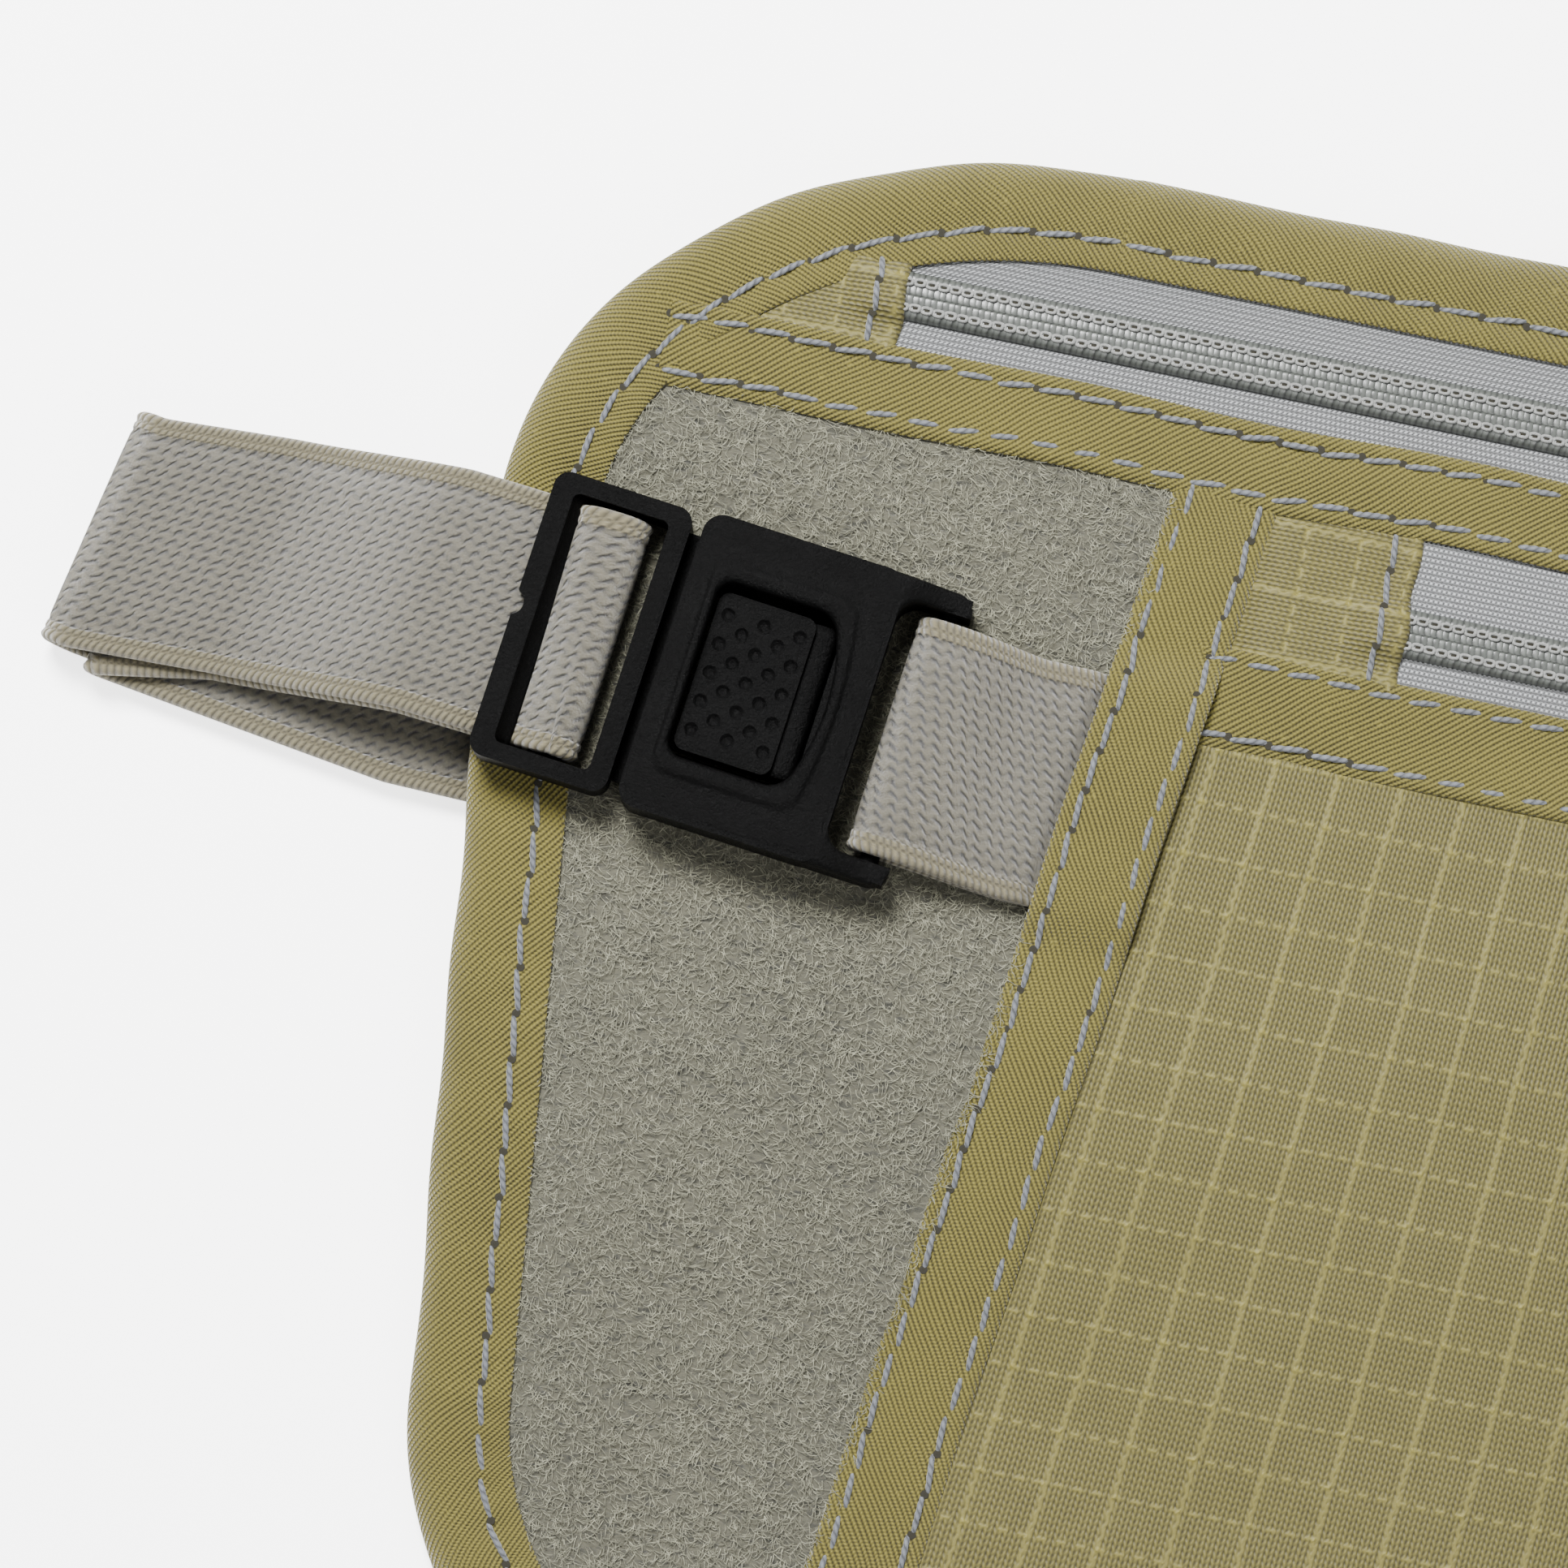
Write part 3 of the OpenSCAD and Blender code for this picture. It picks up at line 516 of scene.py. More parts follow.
def make_binding():
    """The profile carried round the outline, less the fall, with puckers at the seam and a
    slow swell on the front, and an edge that is not quite straight."""
    place, inward, s, length = outline(0)
    top = STACK
    profile = rounded_profile([
        (BINDING_W, top - 0.45), (BINDING_W + 0.1, top - 0.05), (BINDING_W - 0.9, top + 0.05),
        (BINDING_SEAM + 0.5, top - 0.08), (BINDING_SEAM, top - 0.16), (BINDING_SEAM - 0.6, top - 0.04),
        (4, top + 0.1), (1.6, top - 0.05), (0.35, top - 0.8), (0.1, top / 2), (0.35, 0.7), (1.6, 0.05),
        (4, 0), (BINDING_W, 0), (BINDING_W, 0.3), (2, 0.4), (0.8, top / 2), (2, top - 0.45),
    ], 3)
    d, z = profile[:, 0], profile[:, 1]
    points = np.empty((len(s), len(d), 3))
    points[..., :2] = place[:, None] + inward[:, None] * d[None, :, None]
    pull = 0.10 * np.cos(2 * np.pi * s / BINDING_PITCH)[:, None]
    pucker = pull * np.exp(-((d - BINDING_SEAM) / 1.4) ** 2)
    swell = 0.12 * wrinkle(s, 0 * s, 24, 4)[:, None] * np.exp(-((d - 3) / 2.5) ** 2)
    front = ease((z - top / 2) / 0.8)
    points[..., 2] = z + REST_H - fall(points[..., 1]) + (pucker + swell) * front
    points[..., 2] = np.maximum(points[..., 2], 0.0)
    outward = 0.15 * wrinkle(s, 0 * s, 13, 9)
    points[..., :2] -= inward[:, None] * outward[:, None, None] * np.exp(-(d / 1.5) ** 2)[None, :, None]
    across = run_along(np.vstack([profile, profile[:1]]))
    run = np.append(s, length)
    piece = surface("binding", points, binding_cloth, ring=True, loop=True, uv=(run, across))
    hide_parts("edge_binding")
    seam = outline(BINDING_SEAM)[0]
    path = np.column_stack([seam, STACK + REST_H - fall(seam[:, 1]) - 0.1])
    stitch_row("binding_stitches", np.vstack([path, path[:1]]), BINDING_PITCH, 1)


make_binding()

# %% [markdown]
# ## Flat tapes
# The tapes that hide the panel joins are the same bias tape folded under at both edges. Each
# is a strip with a rounded fold on either side and one stitch row near each fold.

# %% Flat tapes
def sewn_over(x, y):
    """How much the wing tapes rise where they are sewn over the ends of the elastic."""
    middle = BUCKLE_Y - np.where(x < 0, 3.4, 1.6)
    return 0.85 * ease((y - middle + 13) / 4) * ease((middle + 13 - y) / 4)


def level_ground(x, y):
    """No rise: the other tapes lie on flat cloth."""
    return 0 * x + 0 * y


def strip(name, start, end, width, finish, node, inset, seed, level=0.0, over_elastic=False):
    """A tape between two points: across it, a low arch with round folded edges."""
    start, end = np.array(start, float), np.array(end, float)
    length = np.linalg.norm(end - start)
    ahead = (end - start) / length
    side = np.array([-ahead[1], ahead[0]])
    s = np.linspace(0, length, int(length / 0.7))
    half = width / 2
    top = STACK
    profile = rounded_profile([
        (-half, top - 0.48), (-half - 0.1, top - 0.2), (-half + 0.5, top + 0.08),
        (-half + inset, top - 0.06), (-half + inset + 0.8, top + 0.02), (half - inset - 0.8, top + 0.02),
        (half - inset, top - 0.06), (half - 0.5, top + 0.08), (half + 0.1, top - 0.2), (half, top - 0.48),
    ], 4)
    v, h = profile[:, 0], profile[:, 1]
    points = np.empty((len(s), len(v), 3))
    sway = 0.12 * wrinkle(s, 0 * s, 30, seed)
    points[..., :2] = start + ahead * s[:, None, None] + side * (v[None, :] + sway[:, None])[..., None]
    pucker = 0.05 * np.cos(2 * np.pi * s / 3.3)[:, None] * np.exp(-((np.abs(v) - half + inset) / 0.8) ** 2)
    swell = 0.10 * wrinkle(s[:, None], 3 * v[None, :], 22, seed + 1)
    up = ease((h - top + 0.4) / 0.3)
    raised = sewn_over if over_elastic else level_ground
    points[..., 2] = h + level + REST_H - fall(points[..., 1]) + (pucker + swell) * up
    points[..., 2] += raised(points[..., 0], points[..., 1])
    across = run_along(np.vstack([profile, profile[:1]]))
    piece = surface(name, points, finish, ring=True, uv=(s, across))
    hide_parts(node)
    for k, v0 in enumerate((inset - half, half - inset)):
        line = start + ahead * s[:, None] + side * (v0 + sway)[:, None]
        height = top + level + REST_H - fall(line[:, 1]) - 0.05 + raised(line[:, 0], line[:, 1])
        stitch_row(name + "_stitches_" + "ab"[k], np.column_stack([line, height]), 3.3, seed + 5 + k)


UPPER_TAPE_Y = (low("upper_tape")[1] + high("upper_tape")[1]) / 2
UPPER_TAPE_W = high("upper_tape")[1] - low("upper_tape")[1]
LOWER_TAPE_Y = (low("lower_tape")[1] + high("lower_tape")[1]) / 2
LOWER_TAPE_W = high("lower_tape")[1] - low("lower_tape")[1]
WING_TAPE_W = 8.4
WING_X = HALF_W - 57
WING_TOP = low("upper_tape")[1]
WING_LEAN = math.radians(7.2)


def wing_x(y):
    """The centre line of the right wing tape at heights y; the left one is its mirror."""
    return WING_X + (WING_TOP - y) * math.tan(WING_LEAN)


wing_foot = -HALF_H + BINDING_W - 1.5
tape_end = float(edge_at(UPPER_TAPE_Y, BINDING_W - 2.5))
strip("wing_tape_l", (-wing_x(wing_foot), wing_foot), (-wing_x(WING_TOP + 1), WING_TOP + 1),
      WING_TAPE_W, tape_cloth, "left_wing_tape", 1.3, 20, -0.08, True)
strip("wing_tape_r", (wing_x(wing_foot), wing_foot), (wing_x(WING_TOP + 1), WING_TOP + 1),
      WING_TAPE_W, tape_cloth, "right_wing_tape", 1.3, 30, -0.08, True)
strip("tape_lower", (low("lower_tape")[0] - 1, LOWER_TAPE_Y), (high("lower_tape")[0] + 1, LOWER_TAPE_Y),
      LOWER_TAPE_W, tape_cloth, "lower_tape", 1.0, 40, -0.2)
strip("tape_upper", (tape_end, UPPER_TAPE_Y), (-tape_end, UPPER_TAPE_Y),
      UPPER_TAPE_W, tape_cloth, "upper_tape", 1.2, 50)

# %% [markdown]
# ## Ripstop nylon
# Ripstop is a thin plain weave with a thicker thread every few millimetres both ways, which
# draws a grid of small boxes. Both the grid and the fine weave are waves on the UV map.

# %% Ripstop finish
def ripstop(name, dark, light):
    """Upright ribs with small crossing threads, a wavy double thread every 5.3 mm across and a
    row of raised dashes every 4.25 mm up. The fine weave is left out under the grid's threads."""
    finish, shader = new_finish(name, 0.6, Sheen_Weight=0.1, IOR=1.5, Specular_IOR_Level=0.35)
    place = add(finish, "UVMap", uv_map="cloth")
    slow = add(finish, "TexNoise", {"Vector": place, "Scale": 1 / (14.0 * MM), "Detail": 1.0})
    drift = add(finish, "Math:MULTIPLY", slow, 1.5)
    ribs = wave(finish, place, ACROSS, 0.38, drift)
    every_other = wave(finish, place, ACROSS, 0.76, add(finish, "Math:MULTIPLY", drift, 0.5))
    threads = wave(finish, place, ALONG, 0.56, add(finish, "Math:MULTIPLY", every_other, 0.5))
    slow = add(finish, "TexNoise", {"Vector": place, "Scale": 1 / (9.0 * MM)})
    sag = add(finish, "Math:MULTIPLY", slow, 0.12)
    wobble = add(finish, "Math:MULTIPLY_ADD", wave(finish, place, ALONG, 1.12), 0.035, sag)
    columns = add(finish, "Math:POWER", wave(finish, place, ACROSS, 5.3, wobble), 70.0)
    lines = add(finish, "Math:POWER", wave(finish, place, ALONG, 4.25, sag), 60.0)
    gaps = wave(finish, place, ACROSS, 1.52)
    dashes = add(finish, "MapRange", {"Value": gaps, "From Min": 0.3, "From Max": 0.6})
    rows = add(finish, "Math:MULTIPLY", lines, dashes)
    weave = add(finish, "Math:MULTIPLY", add(finish, "Math:POWER", ribs, 0.6), 0.6)
    weave = add(finish, "Math:MULTIPLY_ADD", threads, 0.3, weave)
    flat = add(finish, "Math:SUBTRACT", 1.0, add(finish, "Math:MAXIMUM", columns, rows))
    height = add(finish, "Math:MULTIPLY_ADD", columns, 0.95, add(finish, "Math:MULTIPLY", weave, flat))
    height = add(finish, "Math:MULTIPLY_ADD", rows, 1.0, height)
    fuzz = add(finish, "TexNoise", {"Vector": place, "Scale": 1 / (0.3 * MM),
                                    "Detail": 3.0, "Roughness": 0.7})
    height = add(finish, "Math:MULTIPLY_ADD", fuzz, 0.3, height)
    patch = add(finish, "TexNoise", {"Vector": place, "Scale": 1 / (1.6 * MM)})
    # The colour follows the height: the weave's and grid's own pattern, with painted light on the raised
    # threads and painted shade in the hollows.
    tone_and_shade = add(finish, "Math:MULTIPLY_ADD", patch, 0.25, height)
    join(finish, shader, between(finish, tone_and_shade, dark, light, 0.2, 1.5), height, 0.12)
    return finish


ripstop_cloth = ripstop("ripstop_nylon_khaki", "#1e1a07", "#68612b")

# %% [markdown]
# ## Panels
# A panel is a sheet with a thickness: a top face that ripples a little, a plain underside,
# and edges tucked under the tapes. The grid runs from the left edge to the right edge of the
# panel at each height, so it follows slanted and curved borders.

# %% Panels
def ripple(x, y, amount, size, seed):
    """A slow wave with a finer one on it."""
    return amount * (wrinkle(x, y, size, seed) + 0.35 * wrinkle(x, y, size / 3, seed + 1))


def panel(name, left, right, y0, y1, z, thick, finish, node, slot, amount, size, seed, cut, step=1.0,
          puff=0.0, pieces=()):
    """A slab between two border functions of y: x goes from left(y) to right(y), the height is
    z less the slope plus waves that die out at the borders. cut, the cloth's size as cut, is not used."""
    y = np.linspace(y0, y1, int((y1 - y0) / step) + 1)
    a, b = left(y), right(y)
    u = np.linspace(0, 1, int(np.max(b - a) / step) + 1)
    x = a[:, None] + (b - a)[:, None] * u[None, :]
    yy = np.broadcast_to(y[:, None], x.shape)
    rim = np.minimum(np.minimum(x - a[:, None], b[:, None] - x), np.minimum(yy - y0, y1 - yy))
    top = z - fall(yy) + ease(rim / 9) * (ripple(x, yy, amount, size, seed) + puff)
    bottom = z - thick - fall(yy)
    upper = np.stack([x, yy, top], -1)
    under = np.stack([x, yy, np.minimum(bottom, top - 0.1)], -1)
    points = np.concatenate([upper, under[:, ::-1]], 1)
    cols = points.shape[1]
    run = y - y0
    over = np.append(np.concatenate([u, 2 - u[::-1]]) * np.mean(b - a), 2 * np.mean(b - a))
    piece = surface(name, points[:, :cols], finish, ring=True, uv=(run, over))
    cap_ends(piece, len(y), cols)
    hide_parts(node)


def cap_ends(piece, rows, cols):
    """Close the first and last rows of a ring grid with one face each."""
    shell = bmesh.new()
    shell.from_mesh(piece.data)
    shell.verts.ensure_lookup_table()
    for first, turn in ((0, 1), ((rows - 1) * cols, -1)):
        shell.faces.new([shell.verts[first + k] for k in range(cols)][::turn])
    bmesh.ops.recalc_face_normals(shell, faces=shell.faces)
    shell.to_mesh(piece.data)
    shell.free()


def left_wing_edge(y):
    """The x of the left wing tape's centre line at heights y."""
    return -wing_x(y)


UNDER_BINDING = 2.2
HEM = 1.2
WING_LOW = -HALF_H + BINDING_W - UNDER_BINDING
panel("front_ripstop", left_wing_edge, wing_x, WING_LOW, low("lower_tape")[1] + 2, Z_FACE, 0.35,
      ripstop_cloth, "front_panel", "ripstop_nylon", 0.16, 30, 60, (196, 88), 1.2, 0.1)
panel("divider_cloth", *border(HEM), -HALF_H + HEM, HALF_H - HEM, REST_H + 1.35, 0.2,
      ripstop_cloth, "divider_panel", "ripstop_nylon", 0.0, 40, 62, (290, 136), 2.5)

# %% [markdown]
# ## Brushed fleece wings
# The wings and the back are a soft brushed fabric: short matted fibres with small pits between
# them, darkened with painted shade. The base is a sheet whose noise is stretched along the nap,
# and thousands of short fibres, each one thin bent blade, stand on the wing that is seen from close by.

# %% Brushed finish and wings
def brushed():
    """Matted ground cloth: combed noise with small pits between the fibres, darkened with painted shade."""
    finish, shader = new_finish("brushed_polyester_sage", 0.95, Sheen_Weight=0.4, Sheen_Roughness=0.6,
                                IOR=1.45, Specular_IOR_Level=0.1)
    place = add(finish, "TexCoord", out="Object")
    combed = add(finish, "Mapping",
                 {"Vector": place, "Rotation": (0, 0, math.radians(-35)), "Scale": (0.45, 1.0, 1.0)})
    matted = add(finish, "TexNoise", {"Vector": combed, "Scale": 1 / (0.30 * MM),
                                      "Detail": 4.0, "Roughness": 0.8})
    pits = add(finish, "TexNoise", {"Vector": combed, "Scale": 1 / (0.55 * MM), "Roughness": 0.6})
    pit_depth_and_shade = add(finish, "MapRange", {"Value": pits, "From Min": 0.30, "From Max": 0.50})
    height = add(finish, "Math:MULTIPLY_ADD", pit_depth_and_shade, 0.4, add(finish, "Math:MULTIPLY", matted, 0.7))
    patch = add(finish, "TexNoise", {"Vector": place, "Scale": 1 / (14.0 * MM)})
    # The colour follows the height: painted shade in the pits and hollows between the fibres.
    tone_and_shade = add(finish, "Math:MULTIPLY_ADD", patch, 0.25, add(finish, "Math:MULTIPLY", height, 0.75))
    join(finish, shader, between(finish, tone_and_shade, "#1c1c13", "#555343", 0.3, 0.95), height, 0.3)
    return finish


def fibre_finish():
    """Single fibres: a pale grey green that differs a little from place to place."""
    finish, shader = new_finish("brushed_fibres", 0.8, Sheen_Weight=0.3, IOR=1.5)
    place = add(finish, "TexCoord", out="Object")
    patch = add(finish, "TexNoise", {"Vector": place, "Scale": 1 / (0.6 * MM)})
    colour = between(finish, patch, "#424134", "#7d7c69", 0.3, 0.7)
    finish.node_tree.links.new(colour, shader.inputs["Base Color"])
    return finish


fleece = brushed()
fibres = fibre_finish()


def nap(name, mirror, count, seed):
    """Short curled fibres on a wing: each is a thin ribbon of three quads along an arc that
    starts at a random place, lies over in the brushing direction and lifts off a little."""
    rng = np.random.default_rng(seed)
    y = rng.uniform(-HALF_H + BINDING_W - 1, low("upper_tape")[1] + 0.3, count * 2)
    left = edge_at(y, BINDING_W - 0.6)
    right = -wing_x(y) - WING_TAPE_W / 2 + 0.6
    x = left + (right - left) * rng.uniform(0, 1, count * 2)
    keep = rng.uniform(0, 1, count * 2) * 45 < right - left
    x, y = x[keep][:count], y[keep][:count]
    n = len(x)
    way = rng.normal(math.radians(-38), 0.9, n)
    bend = rng.normal(0, 1.6, n)
    length = rng.uniform(0.6, 1.5, n)
    t = np.linspace(0, 1, 4)
    angle = way[:, None] + bend[:, None] * t
    step = length[:, None] / 3
    px = x[:, None] + np.cumsum(np.cos(angle) * step, 1) - np.cos(angle[:, :1]) * step
    py = y[:, None] + np.cumsum(np.sin(angle) * step, 1) - np.sin(angle[:, :1]) * step
    lift = rng.uniform(0.15, 0.5, n)[:, None] * np.sin(np.pi * t * 0.8)[None, :]
    pz = wing_height(px, py) + 0.02 + lift
    wide = 0.035 * (1 - 0.6 * t)[None, :]
    across = np.stack([-np.sin(angle) * wide, np.cos(angle) * wide, 0.35 * wide + 0 * angle], -1)
    core = np.stack([px, py, pz], -1)
    groups = np.stack([core - across, core + across], 2)
    if mirror:
        groups = groups[:, :, ::-1] * [-1, 1, 1]
    return loose(name, groups, fibres, ring=False)


def left_edge(y):
    """The x of the wing's outer border, under the binding."""
    return edge_at(y, BINDING_W - 1.5)


WING_HIGH = low("upper_tape")[1] + 2
WING_WAVE = (0.22, 26, 70)
WING_PUFF = 0.35


def wing_height(x, y):
    """The top of the left wing, as the panel makes it."""
    beside = np.minimum(x - left_edge(y), left_wing_edge(y) - x)
    rim = np.minimum(beside, np.minimum(y - WING_LOW, WING_HIGH - y))
    return Z_FACE - fall(y) + ease(rim / 9) * (ripple(x, y, *WING_WAVE) + WING_PUFF)


nap_left = nap("wing_nap_l", False, 30000, 7)
nap_right = nap("wing_nap_r", True, 30000, 8)
panel("wing_fleece_l", left_edge, left_wing_edge, WING_LOW, WING_HIGH, Z_FACE, 1.3, fleece,
      "left_wing_panel", "brushed_fabric", *WING_WAVE, (54, 112), 1.0, WING_PUFF, [nap_left])
panel("wing_fleece_r", wing_x, lambda y: -left_edge(y), WING_LOW, WING_HIGH, Z_FACE, 1.3, fleece,
      "right_wing_panel", "brushed_fabric", 0.0, 26, 74, (54, 112), 1.0, WING_PUFF, [nap_right])
panel("back_fleece", *border(HEM), -HALF_H + HEM, HALF_H - HEM, REST_H + 1.15, 0.8, fleece,
      "back_panel", "brushed_fabric", 0.0, 40, 78, (290, 136), 2.0)

# %% [markdown]
# ## Knitted elastic
# The elastic is a knitted band: zigzag ribs in the middle and a rounded, tightly ribbed
# selvedge on each side. Its profile is thicker at the selvedges, and its path is the strap's
# real route: under the pouch, round two folds, through the plug and back.

# %% Elastic finish
SELVEDGE = 1.5
BEND_WAY = (1 / 1.1, 0.27, 0)


def elastic(name, width):
    """Wavy ribs along the strap with a pit at each bend, and at both edges two ribbed
    cords with a line of small holes inside each. The colour follows the height: the knit's
    own pattern, with painted shade in the pits and holes."""
    finish, shader = new_finish(name, 0.9, Sheen_Weight=0.35, Sheen_Roughness=0.5, IOR=1.45,
                                Specular_IOR_Level=0.12)
    place = add(finish, "UVMap", uv_map="cloth")
    across = add(finish, "SeparateXYZ", {"Vector": place}, out="Y")
    edge = add(finish, "Math:SUBTRACT", width / 2 * MM, add(finish, "Math:ABSOLUTE", across))
    loose_knit = add(finish, "TexNoise", {"Vector": place, "Scale": 1 / (1.4 * MM),
                                          "Detail": 3.0, "Roughness": 0.6})
    drift = add(finish, "Math:MULTIPLY", loose_knit, 0.9)
    bends = wave(finish, place, BEND_WAY, 1.0, drift)
    zigzag = add(finish, "Math:MULTIPLY", add(finish, "Math:SUBTRACT", bends, 0.5), 0.4)
    ribs = wave(finish, place, ACROSS, 0.92, zigzag)
    between_ribs = add(finish, "Math:POWER", add(finish, "Math:SUBTRACT", 1.0, ribs), 1.5)
    at_bends = wave(finish, place, BEND_WAY, 1.0, add(finish, "Math:ADD", drift, 0.3))
    pits = add(finish, "Math:MULTIPLY", between_ribs, add(finish, "Math:POWER", at_bends, 1.5))
    fuzz = add(finish, "TexNoise", {"Vector": place, "Scale": 1 / (0.2 * MM),
                                    "Detail": 4.0, "Roughness": 0.85})
    knit = add(finish, "Math:MULTIPLY", add(finish, "Math:POWER", ribs, 0.7), 0.3)
    knit = add(finish, "Math:SUBTRACT", knit, add(finish, "Math:MULTIPLY", pits, 0.75))
    knit = add(finish, "Math:MULTIPLY_ADD", fuzz, 1.15, knit)
    knit = add(finish, "Math:SUBTRACT", knit, 0.15)
    cords = wave(finish, place, (1, 0.35, 0), 0.57)
    cord = add(finish, "Math:MULTIPLY_ADD", add(finish, "Math:POWER", cords, 0.6), 0.45, 0.2)
    cord = add(finish, "Math:MULTIPLY_ADD", fuzz, 0.25, cord)
    in_cord = add(finish, "MapRange", {"Value": edge, "From Min": (SELVEDGE + 0.1) * MM,
                                       "From Max": SELVEDGE * MM})
    height = add(finish, "Mix", {0: in_cord, 2: knit, 3: cord})
    for line in (0.95, SELVEDGE + 0.1):
        apart = add(finish, "Math:ABSOLUTE", add(finish, "Math:SUBTRACT", edge, line * MM))
        near = add(finish, "MapRange", {"Value": apart, "From Min": 0.19 * MM, "From Max": 0.05 * MM})
        beat = add(finish, "Math:MULTIPLY_ADD", cords, -0.5, 0.5)
        holes = add(finish, "Math:MULTIPLY_ADD", near, -0.35, add(finish, "Math:MULTIPLY", near, beat))
        height = add(finish, "Math:ADD", height, holes)
    # Colour from height: the knit's own pattern, with painted shade in its pits and holes.
    join(finish, shader, between(finish, height, "#1b1710", "#6b6550", 0.0, 0.85), height, 0.45)
    return finish


STRAP_W = 20
STRAP_T = 1.2
STRAP_STEP = STRAP_T + 0.1


def band(name, path, normal, side, width, thick, finish, node, body):
    """A flat profile with round, fuller edges and a groove inside them, carried along centre
    points with a normal and a side direction at each. Under a wing tape it is squeezed flat."""
    a = np.pi / 2 * np.linspace(0, 1, 9)
    rim_v = width / 2 - 0.55 + 0.55 * np.sin(a[::-1])
    rim_t = (thick / 2 + 0.05) * np.cos(a[::-1])
    inner_v = width / 2 - np.array([0.95, 1.15, 1.5, 1.7, 2.1, 4.0])
    inner_t = thick / 2 + np.array([-0.10, 0.0, -0.02, -0.12, -0.03, 0.0])
    v = np.concatenate([rim_v, inner_v, np.linspace(width / 2 - 5, 0, 8)])
    t = np.concatenate([rim_t, inner_t, np.full(8, thick / 2)])
    v = np.concatenate([v, -v[::-1][1:]])
    t = np.concatenate([t, t[::-1][1:]])
    v = np.concatenate([v, v[::-1][1:-1]])
    t = np.concatenate([t, -t[::-1][1:-1]])
    points = path[:, None] + side[:, None] * v[None, :, None] + normal[:, None] * t[None, :, None]
    sign = np.sign(points[..., 0])
    beside = -sign * points[..., 0] + wing_x(points[..., 1]) + WING_TAPE_W / 2
    over = (points[..., 2] > Z_FACE - 0.2) & (np.abs(points[..., 1] - BUCKLE_Y) < 20)
    squeeze = np.where(over, 1 - 0.8 * ease((beside + 1.3) / 1.7), 1)
    points[..., 2] = np.where(over, Z_FACE + (points[..., 2] - Z_FACE) * squeeze, points[..., 2])
    s = run_along(path)
    piece = surface(name, points, finish, ring=True, uv=(s, np.append(v, v[0])), body=body)
    cap_ends(piece, len(path), len(v))
    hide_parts(node)
    print(name, "length", round(float(s[-1]), 1))
    return piece, float(s[-1])


BUCKLE_LEAN = math.radians(-6.2)
BUCKLE_X = -HALF_W + 15.45


def buckle_place(u, v=0.0, z=0.0):
    """A place in the buckle's own frame, u along the strap and v across, as a place on the belt."""
    u, v, z = np.broadcast_arrays(u, v, z)
    c, s = math.cos(BUCKLE_LEAN), math.sin(BUCKLE_LEAN)
    return np.stack([BUCKLE_X + u * c - v * s, BUCKLE_Y + u * s + v * c, z + 0.0 * u], -1)


def turn(x, y, z, r, a0, a1, k, steps):
    """Stations on an arc in an upright plane turned by k."""
    a = np.radians(np.linspace(a0, a1, steps + 1))
    k = math.radians(k)
    lift = math.pi / 2 if a1 > a0 else -math.pi / 2
    return np.column_stack([x + r * np.cos(a) * math.cos(k), y + r * np.cos(a) * math.sin(k),
                            z + r * np.sin(a), a + lift, 0 * a + k])


def ramp(p, q, steps=16):
    """Stations on a smooth climb between two places [x, y, z, turn in degrees]."""
    p, q = np.array(p, float), np.array(q, float)
    f = np.linspace(0, 1, steps + 1)
    m = p + (q - p) * f[:, None]
    slope = 6 * f * (1 - f) * (q[2] - p[2]) / (q[0] - p[0])
    z = p[2] + (q[2] - p[2]) * ease(f)
    flat = 0 if q[0] > p[0] else math.pi
    return np.column_stack([m[:, 0], m[:, 1], z, flat + np.arctan(slope), np.radians(m[:, 3])])


def sweep_frames(stations, step):
    """Resample stations at equal steps and give each a centre, a normal and a side."""
    keep = np.append(True, np.linalg.norm(np.diff(stations[:, :3], axis=0), axis=1) > 1e-6)
    stations = stations[keep]
    stations[:, 3] = np.unwrap(stations[:, 3])
    length = run_along(stations[:, :3])
    s = np.linspace(0, length[-1], int(length[-1] / step))
    st = np.stack([np.interp(s, length, stations[:, k]) for k in range(5)], 1)
    normal = np.stack([-np.sin(st[:, 3]) * np.cos(st[:, 4]), -np.sin(st[:, 3]) * np.sin(st[:, 4]),
                       np.cos(st[:, 3])], 1)
    side = np.stack([-np.sin(st[:, 4]), np.cos(st[:, 4]), 0 * s], 1)
    return st[:, :3], normal, side


# %% [markdown]
# ## Waist strap
# On the belt one length of elastic leaves the right wing, turns back behind the pouch, comes
# round the left side and wraps the plug's bar. It could be a curve with a bevel, but a flat
# band that must not twist is easier as stations on a route: straight runs, climbs and arcs,
# resampled at equal steps, each with its own normal.

# %% Waist strap
LEAN = math.degrees(BUCKLE_LEAN)
PLUG_LEFT = -11.9
BUCKLE_Z = Z_TOP + 0.1
STRAP_C = BUCKLE_Z + STRAP_T / 2
STRAP_A = STRAP_C + STRAP_STEP
BAR_Z = STRAP_C + STRAP_T / 2 + 0.15
BAR_T = 1.6
BAR_U = PLUG_LEFT + 1.8 + 2.7 + 1.3
STRAP_OVER = BAR_Z + BAR_T + 0.1 + STRAP_T / 2
Z_B, Z_D, Z_C, Z_A = [STRAP_T / 2 + k * STRAP_STEP for k in range(4)]
FOLD_Z = (Z_D + Z_C) / 2
INNER_R = (Z_C - Z_D) / 2
OUTER_R = (Z_A - Z_B) / 2
FOLD_TURN = -11.4


